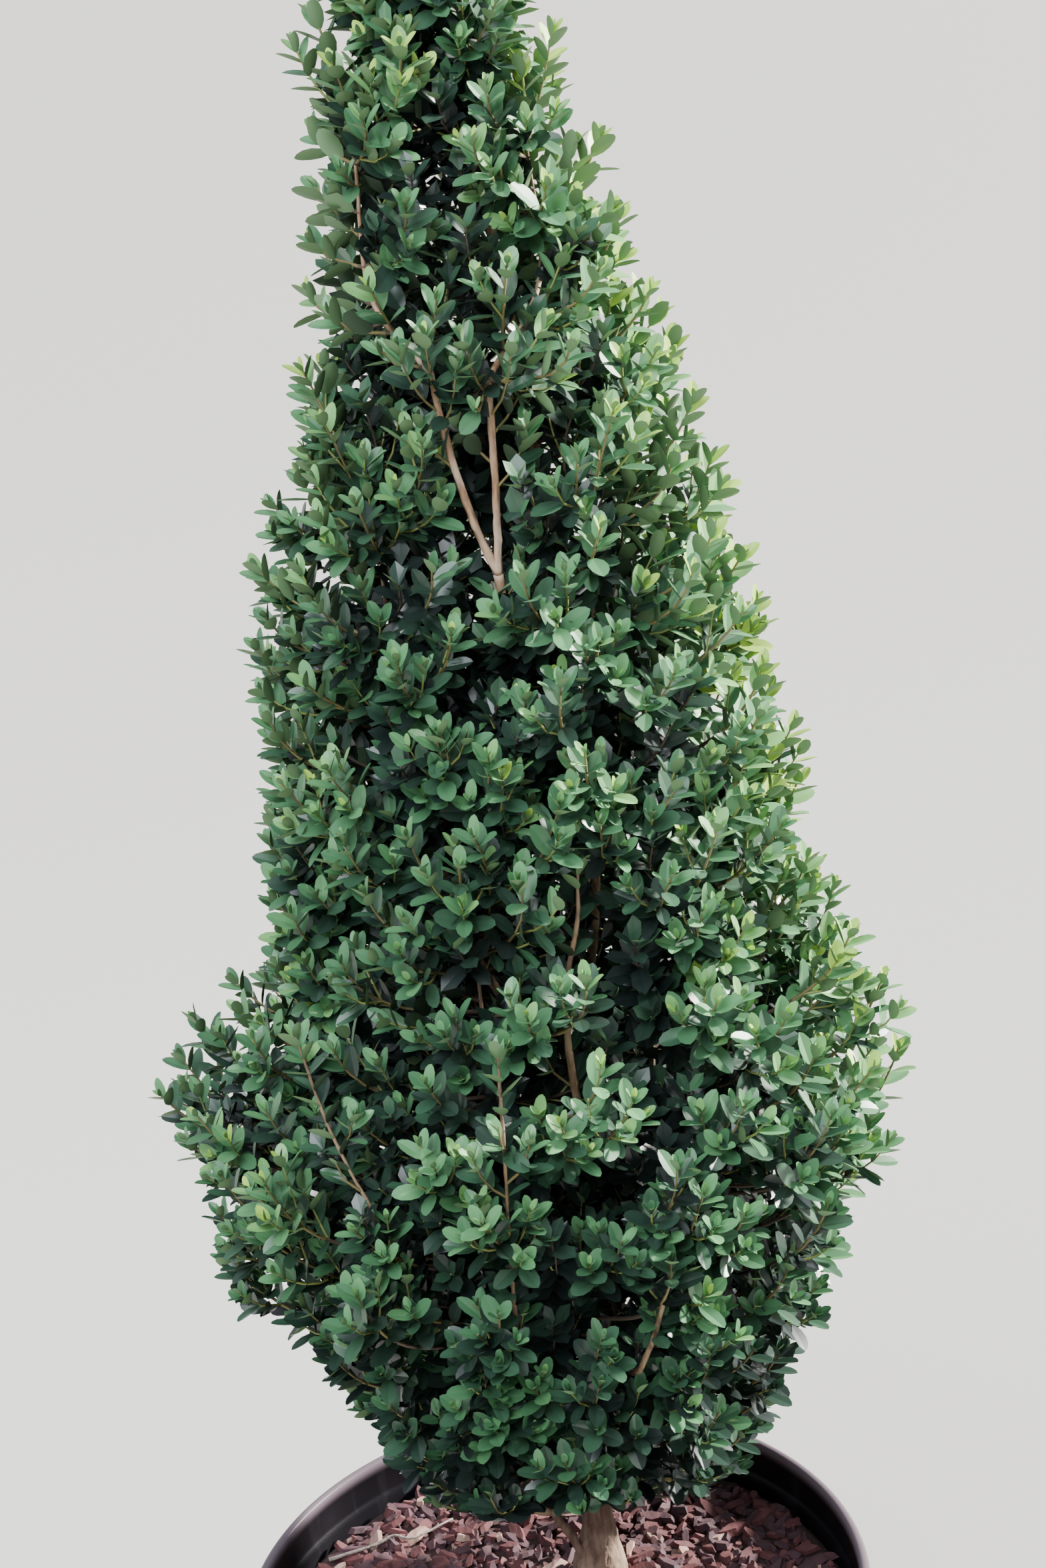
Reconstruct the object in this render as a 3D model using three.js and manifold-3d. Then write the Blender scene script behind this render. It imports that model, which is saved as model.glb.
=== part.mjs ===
// A boxwood cone in a round nursery pot: pot, filling, woody limbs and masses of foliage.
// Millimetres, +Z up, origin at the centre of the pot's flat underside, front towards -Y.

import * as THREE from 'three';
import { mergeVertices } from 'three/addons/utils/BufferGeometryUtils.js';
import Module from 'manifold-3d';

const wasm = await Module();
wasm.setup();

// Pot, a turned shell with a collar and a rolled lip
const POT_HEIGHT = 350;
const RIM_RADIUS = 200;
const LIP_HEIGHT = 8;
const LIP_ROUND = 2;
const COLLAR_RADIUS = 196;
const COLLAR_HEIGHT = 28;
const BODY_TOP_RADIUS = 193;
const FOOT_RADIUS = 168;
const FOOT_ROUND = 4;
const POT_WALL = 3;
const POT_SEGMENTS = 32;
const DRAIN_HOLES = 8;
const DRAIN_WIDTH = 26;
const DRAIN_HEIGHT = 14;

// Filling, level with the foot of the trunk and uneven elsewhere
const SOIL_LEVEL = 320;
const SOIL_DIP = 7;
const SOIL_RINGS = [55, 105, 150];
const FLAT_ROUND_TRUNK = 75;

// Clearance between two pieces that touch on the plant
const SEAT = 0.3;

// Trunk and leader, as places above the filling
const TRUNK_PATH = [[28, 45, -12], [32, 42, 60], [37, 38, 130]];
const TRUNK_RADIUS = 11.5;
const TRUNK_TOP_RADIUS = 8.5;
const FLARE = 5.5;
const FLARE_HEIGHT = 22;
const FLARE_LOBES = 3;
const LOBE_DEPTH = 0.3;
const LEADER_PATH = [[37, 38, 130 + SEAT], [43, 35, 370], [62, 30, 535], [56, 29, 790], [32, 31, 985]];
const LEADER_RADIUS = 6.5;
const LEADER_TIP_RADIUS = 2;
const MESH_OF_TRUNK = { sides: 12, steps: 5 };
const MESH_OF_LEADER = { sides: 6, steps: 10 };
const MESH_OF_BOUGH = { sides: 5, steps: 4 };
const MESH_OF_TWIG = { sides: 4, steps: 2 };

// Crown: envelope radius at heights above the filling, round its own axis
const AXIS = new THREE.Vector3(24, 32, SOIL_LEVEL);
const ENVELOPE = [
  [34, 62], [110, 132], [230, 182], [400, 226], [540, 188],
  [700, 152], [850, 110], [1000, 68], [1120, 36], [1168, 6],
];
const VALLEY = 0.88;
const BULGE_SIZE = 105;
const REACH = { middle_5: 1.06, middle_2: 1.03, upper_2: 1.05, low_5: 0.96 };

// Lower edge of the foliage: height by the trunk, and its rise towards the front and out to the sides
const LOW_EDGE = 46;
const FRONT_RISE = 0.7;
const SIDE_RISE = 0.35;
const SIDE_RISES_FROM = 60;

// Core of a mass, as a share of the envelope and at least so far inside it
const HEART = 0.48;
const CORE = 0.69;
const LEAST_DEPTH = 46;
const LARGEST_CORE = 140;
const CORE_SIDES = 6;
const CORE_RINGS = 4;

// Tiers of foliage: masses in a ring, with the height where their boughs leave the trunk or leader
const TIERS = [
  { name: 'low', count: 5, height: 165, bearing: -66, leaves: 106, step: -11, radius: 4, stem: 70 },
  { name: 'middle', count: 5, height: 415, bearing: -105, leaves: 140, step: 16, radius: 4.8, stem: 85 },
  { name: 'upper', count: 4, height: 645, bearing: -135, leaves: 390, step: 22, radius: 3.4, stem: 75 },
  { name: 'high', count: 3, height: 855, bearing: -150, leaves: 640, step: 18, radius: 2.6, stem: 70 },
  { name: 'top', count: 1, height: 1055, bearing: 0, stem: 85 },
];

// A bough runs outwards first and then up, and stops short of the heart of its mass
const BOUGH_TIP = 0.42;
const BOUGH_DROP = 45;
const BOUGH_SPREAD = 0.85;
const BOUGH_RISE = 0.2;
const BOUGH_TIP_RADIUS = 1.8;

// Bare forked stem that shows in the front of the crown and carries its two high front masses
const FORK = [31, -50, 711];
const FORK_LEAVES_LEADER = 585;
const FORK_RADIUS = 3;
const FORK_TOP_RADIUS = 2.6;
const FORK_LEG_RADIUS = 2.3;
const FORK_LEGS = {
  high_1: { name: 'fork_left', tip: [7, -52, 822] },
  high_2: { name: 'fork_right', tip: [36, -50, 815] },
};
const FORK_SPREAD = 0.35;
const FORK_KNEE = 0.4;

// Sprigs: four-sided twigs with opposite pairs of leaves, larger than life
const SPRIGS = 116;
const GOLDEN_ANGLE = 137.508;
const BEARING_JITTER = 8;
const TWIG_RADIUS = 2.8;
const TWIG_TIP_RADIUS = 2.6;
const TWIG_STEEPNESS = 62;
const STEEPNESS_JITTER = 12;
const HEADING_JITTER = 20;
const TWIG_DROP = 0.6;
const TWIG_BEND = 0.4;
const TWIG_STATIONS = [0.25, 0.5, 0.75, 1];
const BUD = 4;
const PAIR_SPACING = 24;
const PAIR_ANGLES = [40, 50, 60];
const ANGLE_JITTER = 5;
const TIP_PAIR_REACH = 0.8;
const LEAF_LENGTH = 46;
const LEAF_WIDTH = 24;
const LEAF_THICKNESS = 1.4;
const LEAF_SINK = 0.3;

// Clearances in the crown: to the next mass, to a limb and between the blades of two leaves
const SPACE_GAP = 0.4;
const LIMB_GAP = 1;
const LEAF_GAP = 5;
const LIMB_SAMPLE = 4;
const BLADE_FOOT = 0.3;
const BLADE_SAMPLES = 5;

const SEED = 23;
const WELD = 1e-4;
const HALVINGS = 14;

const UP = new THREE.Vector3(0, 0, 1);
const radians = THREE.MathUtils.degToRad;

function seeded(seed) {
  let state = seed;
  return () => {
    state = (state * 1664525 + 1013904223) % 4294967296;
    return state / 4294967296;
  };
}

const between = (low, high, random) => low + (high - low) * random();
const jitter = (most, random) => between(-most, most, random);

// Solids

// Keeps only the places of the corners, with each shared corner once
function welded(geometry) {
  const bare = geometry.clone();
  for (const name of ['normal', 'uv']) bare.deleteAttribute(name);
  return mergeVertices(bare, WELD);
}

function solid(geometry) {
  const { attributes, index } = welded(geometry);
  return new wasm.Manifold(new wasm.Mesh({
    numProp: 3,
    vertProperties: new Float32Array(attributes.position.array),
    triVerts: new Uint32Array(index.array),
  }));
}

function largestPiece(body) {
  const pieces = body.decompose();
  return pieces.reduce((best, piece) => (piece.volume() > best.volume() ? piece : best));
}

function shape(body) {
  const { vertProperties, triVerts, numProp } = body.getMesh();
  const geometry = new THREE.BufferGeometry();
  const corners = new Float32Array(triVerts.length * 3);
  triVerts.forEach((vertex, i) => {
    corners.set(vertProperties.subarray(vertex * numProp, vertex * numProp + 3), i * 3);
  });
  geometry.setAttribute('position', new THREE.BufferAttribute(corners, 3));
  geometry.computeVertexNormals();
  return geometry;
}

// Moves the corners of a unit cylinder onto a curve
function tube(curve, radiusAt, { sides, steps }) {
  const geometry = new THREE.CylinderGeometry(1, 1, 1, sides, steps, false, Math.PI / sides);
  const frames = curve.computeFrenetFrames(steps);
  const corner = new THREE.Vector3();
  const { position } = geometry.attributes;
  for (let i = 0; i < position.count; i += 1) {
    corner.fromBufferAttribute(position, i);
    const along = corner.y + 0.5;
    const step = Math.round(along * steps);
    const side = frames.normals[step].clone().cross(frames.tangents[step]);
    const radius = radiusAt(along, Math.atan2(corner.z, corner.x));
    const place = curve.getPointAt(along)
      .addScaledVector(frames.normals[step], corner.x * radius)
      .addScaledVector(side, corner.z * radius);
    position.setXYZ(i, place.x, place.y, place.z);
  }
  return geometry;
}

const taper = (foot, tip) => (along) => THREE.MathUtils.lerp(foot, tip, along);
const aboveSoil = ([x, y, height]) => new THREE.Vector3(x, y, SOIL_LEVEL + height);
const turned = (profile) => new THREE.LatheGeometry(
  profile.map(([radius, height]) => new THREE.Vector2(radius, height)), POT_SEGMENTS).rotateX(Math.PI / 2);

// Pot and filling

const collarFoot = POT_HEIGHT - COLLAR_HEIGHT;

function innerWall(height) {
  return THREE.MathUtils.mapLinear(height, 0, collarFoot, FOOT_RADIUS, BODY_TOP_RADIUS) - POT_WALL;
}

function potSolid() {
  const lipFoot = POT_HEIGHT - LIP_HEIGHT;
  const profile = [
    [0, 0], [FOOT_RADIUS - FOOT_ROUND, 0], [FOOT_RADIUS, FOOT_ROUND],
    [BODY_TOP_RADIUS, collarFoot], [COLLAR_RADIUS, collarFoot + POT_WALL], [COLLAR_RADIUS, lipFoot],
    [RIM_RADIUS, lipFoot], [RIM_RADIUS, POT_HEIGHT - LIP_ROUND], [RIM_RADIUS - LIP_ROUND, POT_HEIGHT],
    [COLLAR_RADIUS - POT_WALL, POT_HEIGHT], [COLLAR_RADIUS - POT_WALL, collarFoot + POT_WALL],
    [innerWall(collarFoot), collarFoot], [innerWall(POT_WALL), POT_WALL], [0, POT_WALL],
  ];
  let pot = solid(turned(profile));
  for (let i = 0; i < DRAIN_HOLES; i += 1) {
    const hole = new THREE.BoxGeometry(DRAIN_HEIGHT * 2, DRAIN_WIDTH, DRAIN_HEIGHT * 2);
    hole.translate(FOOT_RADIUS, 0, 0).rotateZ((2 * Math.PI * (i + 0.5)) / DRAIN_HOLES);
    pot = pot.subtract(solid(hole));
  }
  return pot;
}

function fillingSolid() {
  const floor = POT_WALL + SEAT;
  const profile = [[0, floor], [innerWall(floor) - SEAT, floor], [innerWall(SOIL_LEVEL) - SEAT, SOIL_LEVEL]];
  for (const radius of [...SOIL_RINGS].reverse()) profile.push([radius, SOIL_LEVEL]);
  profile.push([0, SOIL_LEVEL]);
  const geometry = welded(turned(profile));
  const { position } = geometry.attributes;
  const foot = aboveSoil(TRUNK_PATH[0]);
  const random = seeded(SEED);
  for (let i = 0; i < position.count; i += 1) {
    const away = Math.hypot(position.getX(i) - foot.x, position.getY(i) - foot.y);
    if (position.getZ(i) === SOIL_LEVEL && away > FLAT_ROUND_TRUNK) {
      const level = SOIL_LEVEL - between(0, SOIL_DIP, random);
      const shrink = (innerWall(level) - SEAT) / (innerWall(SOIL_LEVEL) - SEAT);
      position.setXYZ(i, position.getX(i) * shrink, position.getY(i) * shrink, level);
    }
  }
  return solid(geometry);
}

// Limbs

const limbs = [];
const underTrunk = solid(new THREE.BoxGeometry(RIM_RADIUS, RIM_RADIUS, SOIL_LEVEL)
  .translate(0, 0, SEAT + SOIL_LEVEL / 2));

function addLimb(name, curve, radiusAt, mesh) {
  const body = solid(tube(curve, radiusAt, mesh));
  const sleeve = solid(tube(curve, (along, turn) => radiusAt(along, turn) + SEAT, mesh));
  const cutters = [underTrunk, ...limbs.map((limb) => limb.sleeve)];
  const clear = cutters.reduce((left, cutter) => left.subtract(cutter), body);
  const limb = { name, curve, radiusAt, sleeve, body: largestPiece(clear) };
  limbs.push(limb);
  return limb;
}

function flaredTrunk(along, turn) {
  const height = THREE.MathUtils.lerp(TRUNK_PATH[0][2], TRUNK_PATH[TRUNK_PATH.length - 1][2], along);
  const flare = FLARE * Math.exp(-height / FLARE_HEIGHT) * (1 + LOBE_DEPTH * Math.cos(FLARE_LOBES * turn));
  return THREE.MathUtils.lerp(TRUNK_RADIUS, TRUNK_TOP_RADIUS, along) + flare;
}

function pointAtHeight(curve, height) {
  let [low, high] = [0, 1];
  for (let i = 0; i < HALVINGS; i += 1) {
    const middle = (low + high) / 2;
    if (curve.getPointAt(middle).z < SOIL_LEVEL + height) low = middle;
    else high = middle;
  }
  return curve.getPointAt(low);
}

const trunkCurve = new THREE.CatmullRomCurve3(TRUNK_PATH.map(aboveSoil));
const leaderCurve = new THREE.CatmullRomCurve3(LEADER_PATH.map(aboveSoil));
addLimb('trunk', trunkCurve, flaredTrunk, MESH_OF_TRUNK);
addLimb('leader', leaderCurve, taper(LEADER_RADIUS, LEADER_TIP_RADIUS), MESH_OF_LEADER);

function onMainStem(height) {
  const forkHeight = TRUNK_PATH[TRUNK_PATH.length - 1][2];
  return pointAtHeight(height < forkHeight ? trunkCurve : leaderCurve, height);
}

// Crown

function envelope(height) {
  const last = ENVELOPE.length - 1;
  if (height <= ENVELOPE[0][0]) return ENVELOPE[0][1];
  if (height >= ENVELOPE[last][0]) return ENVELOPE[last][1];
  const i = ENVELOPE.findIndex(([top]) => top > height);
  const [[lowHeight, lowRadius], [highHeight, highRadius]] = [ENVELOPE[i - 1], ENVELOPE[i]];
  return THREE.MathUtils.mapLinear(height, lowHeight, highHeight, lowRadius, highRadius);
}

const outward = (bearing) => new THREE.Vector3(Math.cos(radians(bearing)), Math.sin(radians(bearing)), 0);

function onEnvelope(height, bearing, share) {
  const reach = envelope(height) * share;
  return AXIS.clone().addScaledVector(UP, height).addScaledVector(outward(bearing), reach);
}

const masses = TIERS.flatMap((tier) => Array.from({ length: tier.count }, (_, i) => {
  const bearing = tier.bearing + (360 * i) / tier.count;
  const spread = tier.count > 1 ? HEART : 0;
  return {
    name: tier.count > 1 ? `${tier.name}_${i + 1}` : tier.name,
    tier,
    bearing,
    heart: onEnvelope(tier.height, bearing, spread),
    face: onEnvelope(tier.height, bearing, tier.count > 1 ? 1 : 0),
    boughFoot: tier.leaves + tier.step * i,
  };
}));

// Outline of the crown: full opposite each mass, drawn in between two
function onCrown(height, bearing) {
  const full = onEnvelope(height, bearing, 1);
  const nearest = masses.reduce((best, mass) => (
    mass.face.distanceTo(full) < best.face.distanceTo(full) ? mass : best));
  const bulge = Math.exp(-((nearest.face.distanceTo(full) / BULGE_SIZE) ** 2));
  return onEnvelope(height, bearing, THREE.MathUtils.lerp(VALLEY, REACH[nearest.name] ?? 1, bulge));
}

// How far a point is inside the space of a mass, measured to the planes half way to its neighbours
function insideSpace(point, mass) {
  const others = masses.filter((other) => other !== mass);
  const depths = others.map((other) => (
    (point.distanceToSquared(other.heart) - point.distanceToSquared(mass.heart))
    / (2 * mass.heart.distanceTo(other.heart))));
  return Math.min(...depths);
}

function aboveEdge(point, margin = 0) {
  const front = Math.max(0, TRUNK_PATH[0][1] - point.y) * FRONT_RISE;
  const side = Math.max(0, Math.abs(point.x - AXIS.x) - SIDE_RISES_FROM) * SIDE_RISE;
  return point.z - SOIL_LEVEL > LOW_EDGE + front + side + margin;
}

function insideCore(point) {
  const height = point.z - SOIL_LEVEL;
  const top = ENVELOPE[ENVELOPE.length - 1][0] - LEAF_LENGTH;
  const away = Math.hypot(point.x - AXIS.x, point.y - AXIS.y);
  const reach = Math.min(envelope(height) * CORE, envelope(height) - LEAST_DEPTH);
  return aboveEdge(point, LEAF_LENGTH / 2) && height < top && away < reach;
}

// Boughs

function risingCurve(start, end) {
  const height = THREE.MathUtils.lerp(start.z, end.z, BOUGH_RISE);
  const elbow = start.clone().lerp(end, BOUGH_SPREAD).setZ(height);
  return new THREE.QuadraticBezierCurve3(start, elbow, end);
}

function boughCurve(mass) {
  const end = onEnvelope(mass.tier.height, mass.bearing, BOUGH_TIP).addScaledVector(UP, -BOUGH_DROP);
  return risingCurve(onMainStem(mass.boughFoot), end);
}

function forkLegCurve(tip) {
  const spread = tip.clone().sub(forkPoint).setZ(0).multiplyScalar(FORK_SPREAD);
  const knee = forkPoint.clone().lerp(tip, FORK_KNEE).add(spread);
  return new THREE.QuadraticBezierCurve3(forkPoint, knee, tip);
}

const forkPoint = aboveSoil(FORK);
addLimb('fork_stem', risingCurve(onMainStem(FORK_LEAVES_LEADER), forkPoint),
  taper(FORK_RADIUS, FORK_TOP_RADIUS), MESH_OF_BOUGH);

for (const mass of masses) {
  if (mass.name in FORK_LEGS) {
    const leg = FORK_LEGS[mass.name];
    const thickness = taper(FORK_LEG_RADIUS, BOUGH_TIP_RADIUS);
    mass.limb = addLimb(leg.name, forkLegCurve(aboveSoil(leg.tip)), thickness, MESH_OF_BOUGH);
  } else if (mass.tier.count > 1) {
    const thickness = taper(mass.tier.radius, BOUGH_TIP_RADIUS);
    mass.limb = addLimb(`bough_${mass.name}`, boughCurve(mass), thickness, MESH_OF_BOUGH);
  } else {
    mass.limb = limbs.find((limb) => limb.name === 'leader');
  }
}

const limbPoints = limbs.flatMap(({ curve, radiusAt }) => {
  const steps = Math.ceil(curve.getLength() / LIMB_SAMPLE);
  const shares = Array.from({ length: steps + 1 }, (_, i) => i / steps);
  return shares.map((along) => ({ place: curve.getPointAt(along), radius: radiusAt(along, 0) }));
});

function clearOfLimbs(from, to, halfWidth) {
  const line = new THREE.Line3(from, to);
  const nearest = new THREE.Vector3();
  return limbPoints.every(({ place, radius }) => (
    line.closestPointToPoint(place, true, nearest).distanceTo(place) > radius + halfWidth + LIMB_GAP));
}

// Foliage

function stemCurve(mass) {
  const tip = mass.limb.curve.getPointAt(1);
  const start = tip.clone().addScaledVector(mass.limb.curve.getTangentAt(1), SEAT);
  const end = mass.heart.clone().addScaledVector(UP, mass.tier.stem);
  return new THREE.CatmullRomCurve3([start, mass.heart, end]);
}

// Smaller body that the leaves stand out of, drawn in until it keeps to the mass's space
function coreGeometry(mass) {
  const geometry = welded(new THREE.SphereGeometry(1, CORE_SIDES, CORE_RINGS).rotateX(Math.PI / 2));
  const { position } = geometry.attributes;
  const ray = new THREE.Vector3();
  for (let i = 0; i < position.count; i += 1) {
    ray.fromBufferAttribute(position, i);
    const fits = (reach) => {
      const place = mass.heart.clone().addScaledVector(ray, reach);
      return insideSpace(place, mass) > SPACE_GAP * 2 && insideCore(place);
    };
    let [low, high] = [1, LARGEST_CORE];
    for (let j = 0; j < HALVINGS; j += 1) {
      if (fits((low + high) / 2)) low = (low + high) / 2;
      else high = (low + high) / 2;
    }
    const place = mass.heart.clone().addScaledVector(ray, low);
    position.setXYZ(i, place.x, place.y, place.z);
  }
  return geometry;
}

function leafGeometry(root, direction, across) {
  const face = direction.clone().cross(across).normalize();
  const middle = root.clone().addScaledVector(direction, LEAF_LENGTH / 2 - LEAF_SINK);
  const frame = new THREE.Matrix4().makeBasis(
    direction.clone().multiplyScalar(LEAF_LENGTH / 2),
    across.clone().multiplyScalar(LEAF_WIDTH / 2),
    face.multiplyScalar(LEAF_THICKNESS / 2),
  ).setPosition(middle);
  return new THREE.OctahedronGeometry(1).applyMatrix4(frame);
}

function corners(geometry) {
  const { position } = geometry.attributes;
  const places = Array.from({ length: position.count }, () => new THREE.Vector3());
  return places.map((place, i) => place.fromBufferAttribute(position, i));
}

function sampled(from, to, count) {
  return Array.from({ length: count }, (_, i) => from.clone().lerp(to, i / (count - 1)));
}

// Opposite pairs down from the tip, each turned a quarter from the last
function leavesOfTwig(mass, curve) {
  const leaves = [];
  const { steps } = MESH_OF_TWIG;
  const [knee, tip] = [curve.getPointAt(1 - 1 / steps), curve.getPointAt(1)];
  const tangent = tip.clone().sub(knee).normalize();
  const { normals } = curve.computeFrenetFrames(steps);
  PAIR_ANGLES.forEach((pairAngle, i) => {
    const root = tip.clone().addScaledVector(tangent, -BUD - PAIR_SPACING * i);
    const side = normals[steps].clone().applyAxisAngle(tangent, (i * Math.PI) / 2);
    for (const way of [1, -1]) {
      const lateral = side.clone().multiplyScalar(way);
      const angle = radians(pairAngle + jitter(ANGLE_JITTER, mass.random));
      const across = tangent.clone().cross(lateral).normalize();
      const direction = tangent.clone().multiplyScalar(Math.cos(angle));
      direction.addScaledVector(lateral, Math.sin(angle));
      const leaf = leafGeometry(root, direction, across);
      const point = root.clone().addScaledVector(direction, LEAF_LENGTH);
      const inSpace = (corner) => insideSpace(corner, mass) > SPACE_GAP && aboveEdge(corner);
      const keeps = corners(leaf).every(inSpace) && !insideCore(root) && !insideCore(point);
      const blade = sampled(root.clone().lerp(point, BLADE_FOOT), point, BLADE_SAMPLES);
      const apart = mass.blades.every((other) => blade.every((place) => place.distanceTo(other) > LEAF_GAP));
      if (keeps && apart && clearOfLimbs(root, point, LEAF_WIDTH / 2)) {
        leaves.push(leaf);
        mass.blades.push(...blade);
      }
    }
  });
  return leaves;
}

// Twig that leaves its stem outwards and bends up to its target
function twigCurve({ stem, heart, random }, target, bearing) {
  const steep = radians(TWIG_STEEPNESS + jitter(STEEPNESS_JITTER, random));
  const level = outward(bearing + jitter(HEADING_JITTER, random)).multiplyScalar(Math.cos(steep));
  const heading = level.addScaledVector(UP, Math.sin(steep));
  const tip = target.clone().addScaledVector(heading, -LEAF_LENGTH * TIP_PAIR_REACH);
  const away = Math.hypot(tip.x - heart.x, tip.y - heart.y);
  const [low, high] = [stem.getPointAt(0).z, stem.getPointAt(1).z];
  const share = THREE.MathUtils.inverseLerp(low, high, tip.z - away * TWIG_DROP);
  const start = stem.getPointAt(THREE.MathUtils.clamp(share, 0.1, 0.95));
  const elbow = tip.clone().addScaledVector(heading, -start.distanceTo(tip) * TWIG_BEND);
  return new THREE.QuadraticBezierCurve3(start, elbow, tip);
}

// Even spots over the crown's surface, as height and bearing, and one at its very top
function crownSpots(count) {
  const [bottom, top] = [ENVELOPE[0][0], ENVELOPE[ENVELOPE.length - 1][0]];
  const heights = Array.from({ length: top - bottom }, (_, i) => bottom + i + 0.5);
  const total = heights.reduce((sum, height) => sum + envelope(height), 0);
  const random = seeded(SEED);
  const spots = [];
  let swept = 0;
  for (const height of heights) {
    swept += envelope(height);
    while (spots.length < count && swept / total >= (spots.length + 0.5) / count) {
      spots.push({ height, bearing: spots.length * GOLDEN_ANGLE + jitter(BEARING_JITTER, random) });
    }
  }
  return [...spots, { height: top, bearing: 0 }];
}

masses.forEach((mass, i) => {
  mass.random = seeded(SEED + i * masses.length);
  mass.stem = stemCurve(mass);
  const stem = tube(mass.stem, taper(BOUGH_TIP_RADIUS, TWIG_TIP_RADIUS), MESH_OF_BOUGH);
  mass.solids = [coreGeometry(mass), stem];
  mass.blades = [];
});

for (const { height, bearing } of crownSpots(SPRIGS)) {
  const target = onCrown(height, bearing);
  const mass = masses.reduce((best, other) => (
    target.distanceTo(other.heart) < target.distanceTo(best.heart) ? other : best));
  const curve = twigCurve(mass, target, bearing);
  const stations = TWIG_STATIONS.map((along) => curve.getPointAt(along));
  const keeps = stations.every((place) => (
    insideSpace(place, mass) > SPACE_GAP + TWIG_RADIUS && aboveEdge(place, TWIG_RADIUS)));
  const clear = stations.slice(1).every((place, i) => clearOfLimbs(stations[i], place, TWIG_RADIUS));
  if (keeps && clear) {
    mass.solids.push(tube(curve, taper(TWIG_RADIUS, TWIG_TIP_RADIUS), MESH_OF_TWIG));
    mass.solids.push(...leavesOfTwig(mass, curve));
  }
}

// Model

const FINISH = {
  plastic: { color: 0x1b181c, roughness: 0.45, metalness: 0 },
  mulch: { color: 0x5a3a2a, roughness: 0.95, metalness: 0 },
  bark: { color: 0x8a6a48, roughness: 0.85, metalness: 0 },
  leaves: { color: 0x3f6b3c, roughness: 0.45, metalness: 0 },
};

const plant = new THREE.Group();

function addMesh(name, body, finish) {
  const mesh = new THREE.Mesh(shape(body), new THREE.MeshStandardMaterial(finish));
  mesh.name = name;
  plant.add(mesh);
}

addMesh('pot', potSolid(), FINISH.plastic);
addMesh('bark_mulch', fillingSolid(), FINISH.mulch);
for (const limb of limbs) addMesh(limb.name, limb.body, FINISH.bark);
for (const mass of masses) {
  const joined = mass.solids.map(solid).reduce((body, piece) => body.add(piece));
  const clear = limbs.reduce((body, limb) => body.subtract(limb.sleeve), joined);
  addMesh(`foliage_${mass.name}`, largestPiece(clear), FINISH.leaves);
}

export default plant;
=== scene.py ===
# %% [markdown]
# # A boxwood cone in its nursery pot
# A young boxwood, clipped into a loose cone, grows in a round black pot filled with bark. Thousands of
# small leaves sit in opposite pairs on upright shoots, and the woody limbs only show in a few gaps. The
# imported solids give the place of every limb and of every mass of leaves. This script grows the fine shoots
# and leaves in those places, and dresses the pot, the bark bed and the wood.

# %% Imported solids
import math

import bmesh
import bpy
import numpy as np
from mathutils import Matrix, Vector, noise


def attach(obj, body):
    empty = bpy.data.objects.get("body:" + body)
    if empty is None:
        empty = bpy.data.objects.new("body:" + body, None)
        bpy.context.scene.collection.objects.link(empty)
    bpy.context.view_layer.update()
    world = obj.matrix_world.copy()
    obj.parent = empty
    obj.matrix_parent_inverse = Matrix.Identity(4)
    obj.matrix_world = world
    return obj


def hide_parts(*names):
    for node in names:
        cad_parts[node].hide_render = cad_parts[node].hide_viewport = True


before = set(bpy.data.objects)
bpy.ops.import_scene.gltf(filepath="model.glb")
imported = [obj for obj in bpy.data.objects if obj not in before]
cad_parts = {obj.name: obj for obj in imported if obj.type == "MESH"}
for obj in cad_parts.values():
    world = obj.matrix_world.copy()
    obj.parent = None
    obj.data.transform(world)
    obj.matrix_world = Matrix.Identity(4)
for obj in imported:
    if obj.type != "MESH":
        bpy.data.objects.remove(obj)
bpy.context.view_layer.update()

MM = 0.001

# %% [markdown]
# ## Camera
# The view looks down at the plant from standing height. The rim of the pot is a circle of known size, and
# its ellipse in the picture gives the lens, the tilt and the place of the camera. A constraint could aim
# the camera, but it would lose the slight roll, so a matrix holds all the turns. A camera looks along its
# own -Z: the columns of its matrix are the right, the up and the backward direction of the view.

# %% Camera
LENS = 60
LONG_SIDE = 36
PITCH = math.radians(20)
ROLL = math.radians(-6)
EYE = Vector((32, -1395, 1401)) * MM


def camera_turn(pitch, roll):
    forward = Vector((0, math.cos(pitch), -math.sin(pitch)))
    level = Vector((1, 0, 0))
    upright = level.cross(forward)
    right = level * math.cos(roll) + upright * math.sin(roll)
    up = upright * math.cos(roll) - level * math.sin(roll)
    return Matrix((right, up, -forward)).transposed()


camera_data = bpy.data.cameras.new("camera")
camera_data.lens = LENS
camera_data.sensor_fit = "AUTO"
camera_data.sensor_width = LONG_SIDE
camera = bpy.data.objects.new("camera", camera_data)
camera.matrix_world = Matrix.LocRotScale(EYE, camera_turn(PITCH, ROLL), None)
bpy.context.scene.collection.objects.link(camera)
bpy.context.scene.camera = camera
print("camera looks down", round(math.degrees(PITCH)), "degrees")

# %% [markdown]
# ## Shader maths
# The finishes below use no pictures. Their patterns could be wired node by node, but a pattern is easier to
# read as a formula. The first class wraps a socket, so that + and * between sockets and numbers add Math
# nodes. Colours are mixed by Mix nodes, because a Math node would turn them grey. The second class builds
# one finish.


# %% Shader maths
class Amount:
    def __init__(self, paint, socket):
        self.paint, self.socket = paint, socket

    def maths(self, operation, other):
        return self.paint.node("ShaderNodeMath", {"operation": operation}, {0: self, 1: other})

    def __add__(self, other):
        return self.maths("ADD", other)

    def __mul__(self, other):
        return self.maths("MULTIPLY", other)

    __radd__ = __add__
    __rmul__ = __mul__


print("formulas ready")


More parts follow.
